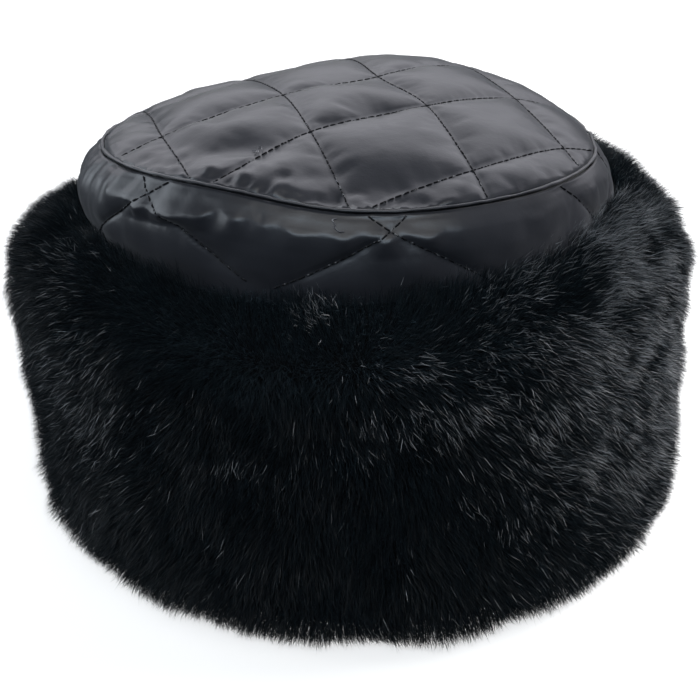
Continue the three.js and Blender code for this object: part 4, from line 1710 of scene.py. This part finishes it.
    def standing_strands(self, draw: np.random.Generator) -> tuple[Array, Array]:
        """Grows the hairs that stand on the pile, in clumps.

        Args:
            draw: where their unevenness comes from.

        Returns:
            Five points a hair, and the tone at each of those.
        """
        count = self.hair_count
        tree, clump_angle, clump_place = self.clumps(draw)
        angle, place = self.hair_places(count, 0.0)
        angle = angle + draw.normal(scale=self.hair_scatter[0], size=count)
        place = place + draw.normal(scale=self.hair_scatter[1], size=count)
        place = np.clip(place, 0, self.last_place)
        on_top = self.surface.top(angle, place)
        nearest = np.array([tree.find(point)[1] for point in on_top])
        own_angle, own_place = self.tips(
            angle, place, draw.normal(scale=self.own_stray, size=(count, 2)))
        pull = self.gather * draw.uniform(*self.gather_spread, count)
        tip_angle = own_angle + pull * turn_from(own_angle, clump_angle[nearest])
        tip_place = own_place + pull * (clump_place[nearest] - own_place)
        lift = self.lift_at(angle, place)
        swell = self.swell * Ripple(self.swell_size, self.seed + 3).at(on_top)
        stand = swell + draw.normal(scale=self.height_stray, size=count) + self.stand_out + lift
        tip = self.surface.at(tip_angle, np.clip(tip_place, 0, 1), -stand)
        tip[:, 2] += np.minimum(tip_place, 0) * self.surface.length * self.foot_fall_share
        depth = self.pile_at(place) + self.root_under - self.root_lift_share * lift
        root = self.surface.at(angle, place, depth)
        reach = np.linalg.norm(tip - root, axis=1, keepdims=True)
        bend = root + self.surface.normal(angle, place) * reach * self.bend_reach
        bend = bend + draw.normal(scale=self.bend_stray, size=root.shape)
        for points in (root, bend, tip):
            points[:, 2] = np.maximum(points[:, 2], self.least_height)
        # Light-toned hairs are picked here as painted highlights
        pale = self.glinting_hairs(angle, place, draw)
        return self.strands(self.clear_of_wall(root), bend, self.clear_of_wall(tip), draw, pale)

    def foot_strands(self, draw: np.random.Generator) -> tuple[Array, Array]:
        """Grows the flattened hairs on the underside of the cuff.

        Args:
            draw: where their unevenness comes from.

        Returns:
            Five points a hair, and the tone at each of those.
        """
        count = self.foot_hairs
        angle = draw.uniform(0, FULL_TURN, count)
        low = self.form.cuff_out_low + periodic_curve(self.form.cuff_low_by_angle, angle)
        inner = self.form.wall_out(angle, self.foot_drop) + self.foot_gap
        out = inner + (low - self.foot_inset - inner) * draw.uniform(0, 1, count)
        root = self.form.ring(angle, out, self.foot_height)
        turn = draw.uniform(*self.foot_turns, count)
        reach = draw.uniform(*self.foot_reaches, count)
        tip = self.form.ring(angle + turn, out + reach, draw.uniform(*self.foot_tip_heights, count))
        bend = (root + tip) / 2
        bend[:, 2] = draw.uniform(*self.foot_bend_heights, count)
        return self.strands(root, bend, tip, draw, np.zeros(count, bool))

    def hairs(self) -> list[bpy.types.Object]:
        """Grows all the hairs and joins them into a few pieces.

        Returns:
            The pieces.
        """
        draw = np.random.default_rng(self.seed)
        grown = (self.standing_strands(draw), self.foot_strands(draw))
        points, tones = (np.concatenate(both) for both in zip(*grown))
        material = self.hair_finish.material()
        pieces = []
        for number, first in enumerate(range(0, len(points), self.hairs_a_piece)):
            last = first + self.hairs_a_piece
            pieces.append(self.hair_piece(
                f"fur_hairs_{number + 1}", points[first:last], tones[first:last], material))
        return pieces

    def build(self) -> list[bpy.types.Object]:
        """Builds the pile ring and the hairs."""
        return [self.pile(), *self.hairs()]


@dataclass
class SoftBox:
    """A soft studio light: its place, what it faces, its size, its power and if it mirrors."""

    name: str
    place: tuple[float, float, float]
    aim: tuple[float, float, float]
    size: tuple[float, float]
    power: float
    colour: Colour = (1, 1, 1)
    mirrored: bool = True

    def build(self) -> None:
        """Adds the light, with its size and place in metres."""
        light = bpy.data.lights.new(self.name, "AREA")
        light.shape = "RECTANGLE"
        light.size, light.size_y = self.size
        light.energy = self.power
        light.color = self.colour
        lamp = bpy.data.objects.new(self.name, light)
        bpy.context.scene.collection.objects.link(lamp)
        lamp.location = self.place
        lamp.visible_glossy = self.mirrored
        way = Vector(self.aim) - Vector(self.place)
        lamp.rotation_euler = way.to_track_quat("-Z", "Y").to_euler()


@dataclass
class Studio:
    """The pale floor, the soft lights and the camera."""

    photo_side: int = 700
    focal_pixels: float = 1232.0
    sensor: float = 36.0
    elevation: float = 30.3
    distance: float = 0.500
    target: tuple[float, float, float] = (-0.0001, 0.0025, 0.048)
    near_clip: float = 0.01
    floor_half: float = 3.0
    floor_sides: int = 96
    floor_steps: tuple[tuple[float, float], ...] = ((1.06, 0.1), (1.04, 0.3), (1.02, 0.8), (1.0, 2.5))
    floor_glow: float = 0.72
    floor_tone: float = 0.5
    floor_roughness: float = 0.9
    world_tone: Colour = (0.004, 0.008, 0.011)
    boxes: tuple[SoftBox, ...] = (
        SoftBox("back_top_light", (0.1, 1.2, 0.95), (0, 0, 0.12), (3.2, 1.3), 16.8, (0.93, 0.925, 1)),
        SoftBox("left_light", (-1.3, 0.1, 0.6), (0, 0, 0.08), (1.6, 1.1), 13.0, (0.84, 0.92, 1)),
        SoftBox("right_light", (1.2, 0.3, 0.7), (0, 0, 0.08), (0.9, 0.8), 25.5, (1, 0.98, 0.96), False),
        SoftBox("front_top_light", (0, -0.7, 1.35), (0, 0, 0.12), (1.3, 0.8), 4.0, (1, 0.96, 0.9)),
        SoftBox("front_light", (0, -1.1, 1.05), (0, 0, 0.12), (1.4, 0.5), 8.0, (0.72, 0.86, 1)),
    )

    def camera(self) -> None:
        """Adds the camera at the photo's viewing angle."""
        lens = bpy.data.cameras.new("photo_camera")
        lens.sensor_width = self.sensor
        lens.lens = self.focal_pixels / self.photo_side * self.sensor
        lens.clip_start = self.near_clip
        camera = bpy.data.objects.new("photo_camera", lens)
        bpy.context.scene.collection.objects.link(camera)
        rise = math.radians(self.elevation)
        back = Vector((0, -math.cos(rise), math.sin(rise)))
        camera.location = Vector(self.target) + back * self.distance
        camera.rotation_euler = (-back).to_track_quat("-Z", "Y").to_euler()
        bpy.context.scene.camera = camera

    def floor(self) -> None:
        """Adds the pale floor and the pale wall that rises round it."""
        bpy.ops.object.select_all(action="DESELECT")
        bpy.ops.mesh.primitive_circle_add(
            vertices=self.floor_sides, radius=self.floor_half, fill_type="NGON", location=(0, 0, 0))
        floor = bpy.context.object
        floor.name = "studio_floor"
        bpy.ops.object.mode_set(mode="EDIT")
        bpy.ops.mesh.select_all(action="SELECT")
        for out, up in self.floor_steps:
            bpy.ops.mesh.extrude_region_move(TRANSFORM_OT_translate={"value": (0, 0, up)})
            bpy.ops.transform.resize(value=(out, out, 1))
        bpy.ops.mesh.delete(type="ONLY_FACE")
        bpy.ops.object.mode_set(mode="OBJECT")
        paper = Paint("studio_paper", {
            "Base Color": (self.floor_tone,) * 3 + (1,), "Roughness": self.floor_roughness,
            "Specular IOR Level": 0.0, "Emission Color": (1, 1, 1, 1),
            "Emission Strength": self.floor_glow})
        floor.data.materials.append(paper.material)
        floor.visible_glossy = False
        floor.visible_diffuse = False

    def world(self) -> None:
        """Sets the dim room light and a plain view of colours."""
        world = bpy.data.worlds.new("studio_room")
        world.use_nodes = True
        tones = world.node_tree.nodes["Background"]
        tones.inputs["Color"].default_value = (*self.world_tone, 1)
        bpy.context.scene.world = world
        bpy.context.scene.view_settings.view_transform = "Standard"
        bpy.context.scene.view_settings.look = "None"

    def build(self) -> None:
        """Builds the studio."""
        self.camera()
        self.floor()
        self.world()
        for box in self.boxes:
            box.build()


def reported(piece: bpy.types.Object) -> bpy.types.Object:
    """Reports a finished piece and hands it on."""
    log.info("%s built", piece.name)
    return piece


def main() -> None:
    """Builds the studio and the hat, piece by piece."""
    logging.basicConfig(level=logging.INFO, format="%(name)s: %(message)s")
    form = HatForm()
    Studio().build()
    log.info("studio built")
    satin = SatinFinish()
    top = CrownTop(form, satin)
    wall = CrownWall(form, satin)
    top_cloth = reported(top.build())
    wall_cloth = reported(wall.build())
    reported(RimRidge(form, SatinFinish(name="welt_satin")).build())
    reported(Stitching(form, top, wall, ThreadFinish()).build(top_cloth, wall_cloth))
    # The loose threads: grey, with lighter flecks painted as highlights
    grey = ThreadFinish(name="loose_thread", dark=(0.1, 0.1, 0.11), light=(0.3, 0.3, 0.32))
    reported(LooseThread("snagged_thread", SNAG_KNOTS, (0, -1, 0.3), grey).build(wall_cloth))
    reported(LooseThread("lint_curl", LINT_KNOTS, (0, 0, 1), grey, radius=0.12).build(top_cloth))
    for piece in FurCuff(form, CuffSurface(form), FurFinish(), HideFinish()).build():
        reported(piece)


if __name__ == "__main__":
    main()
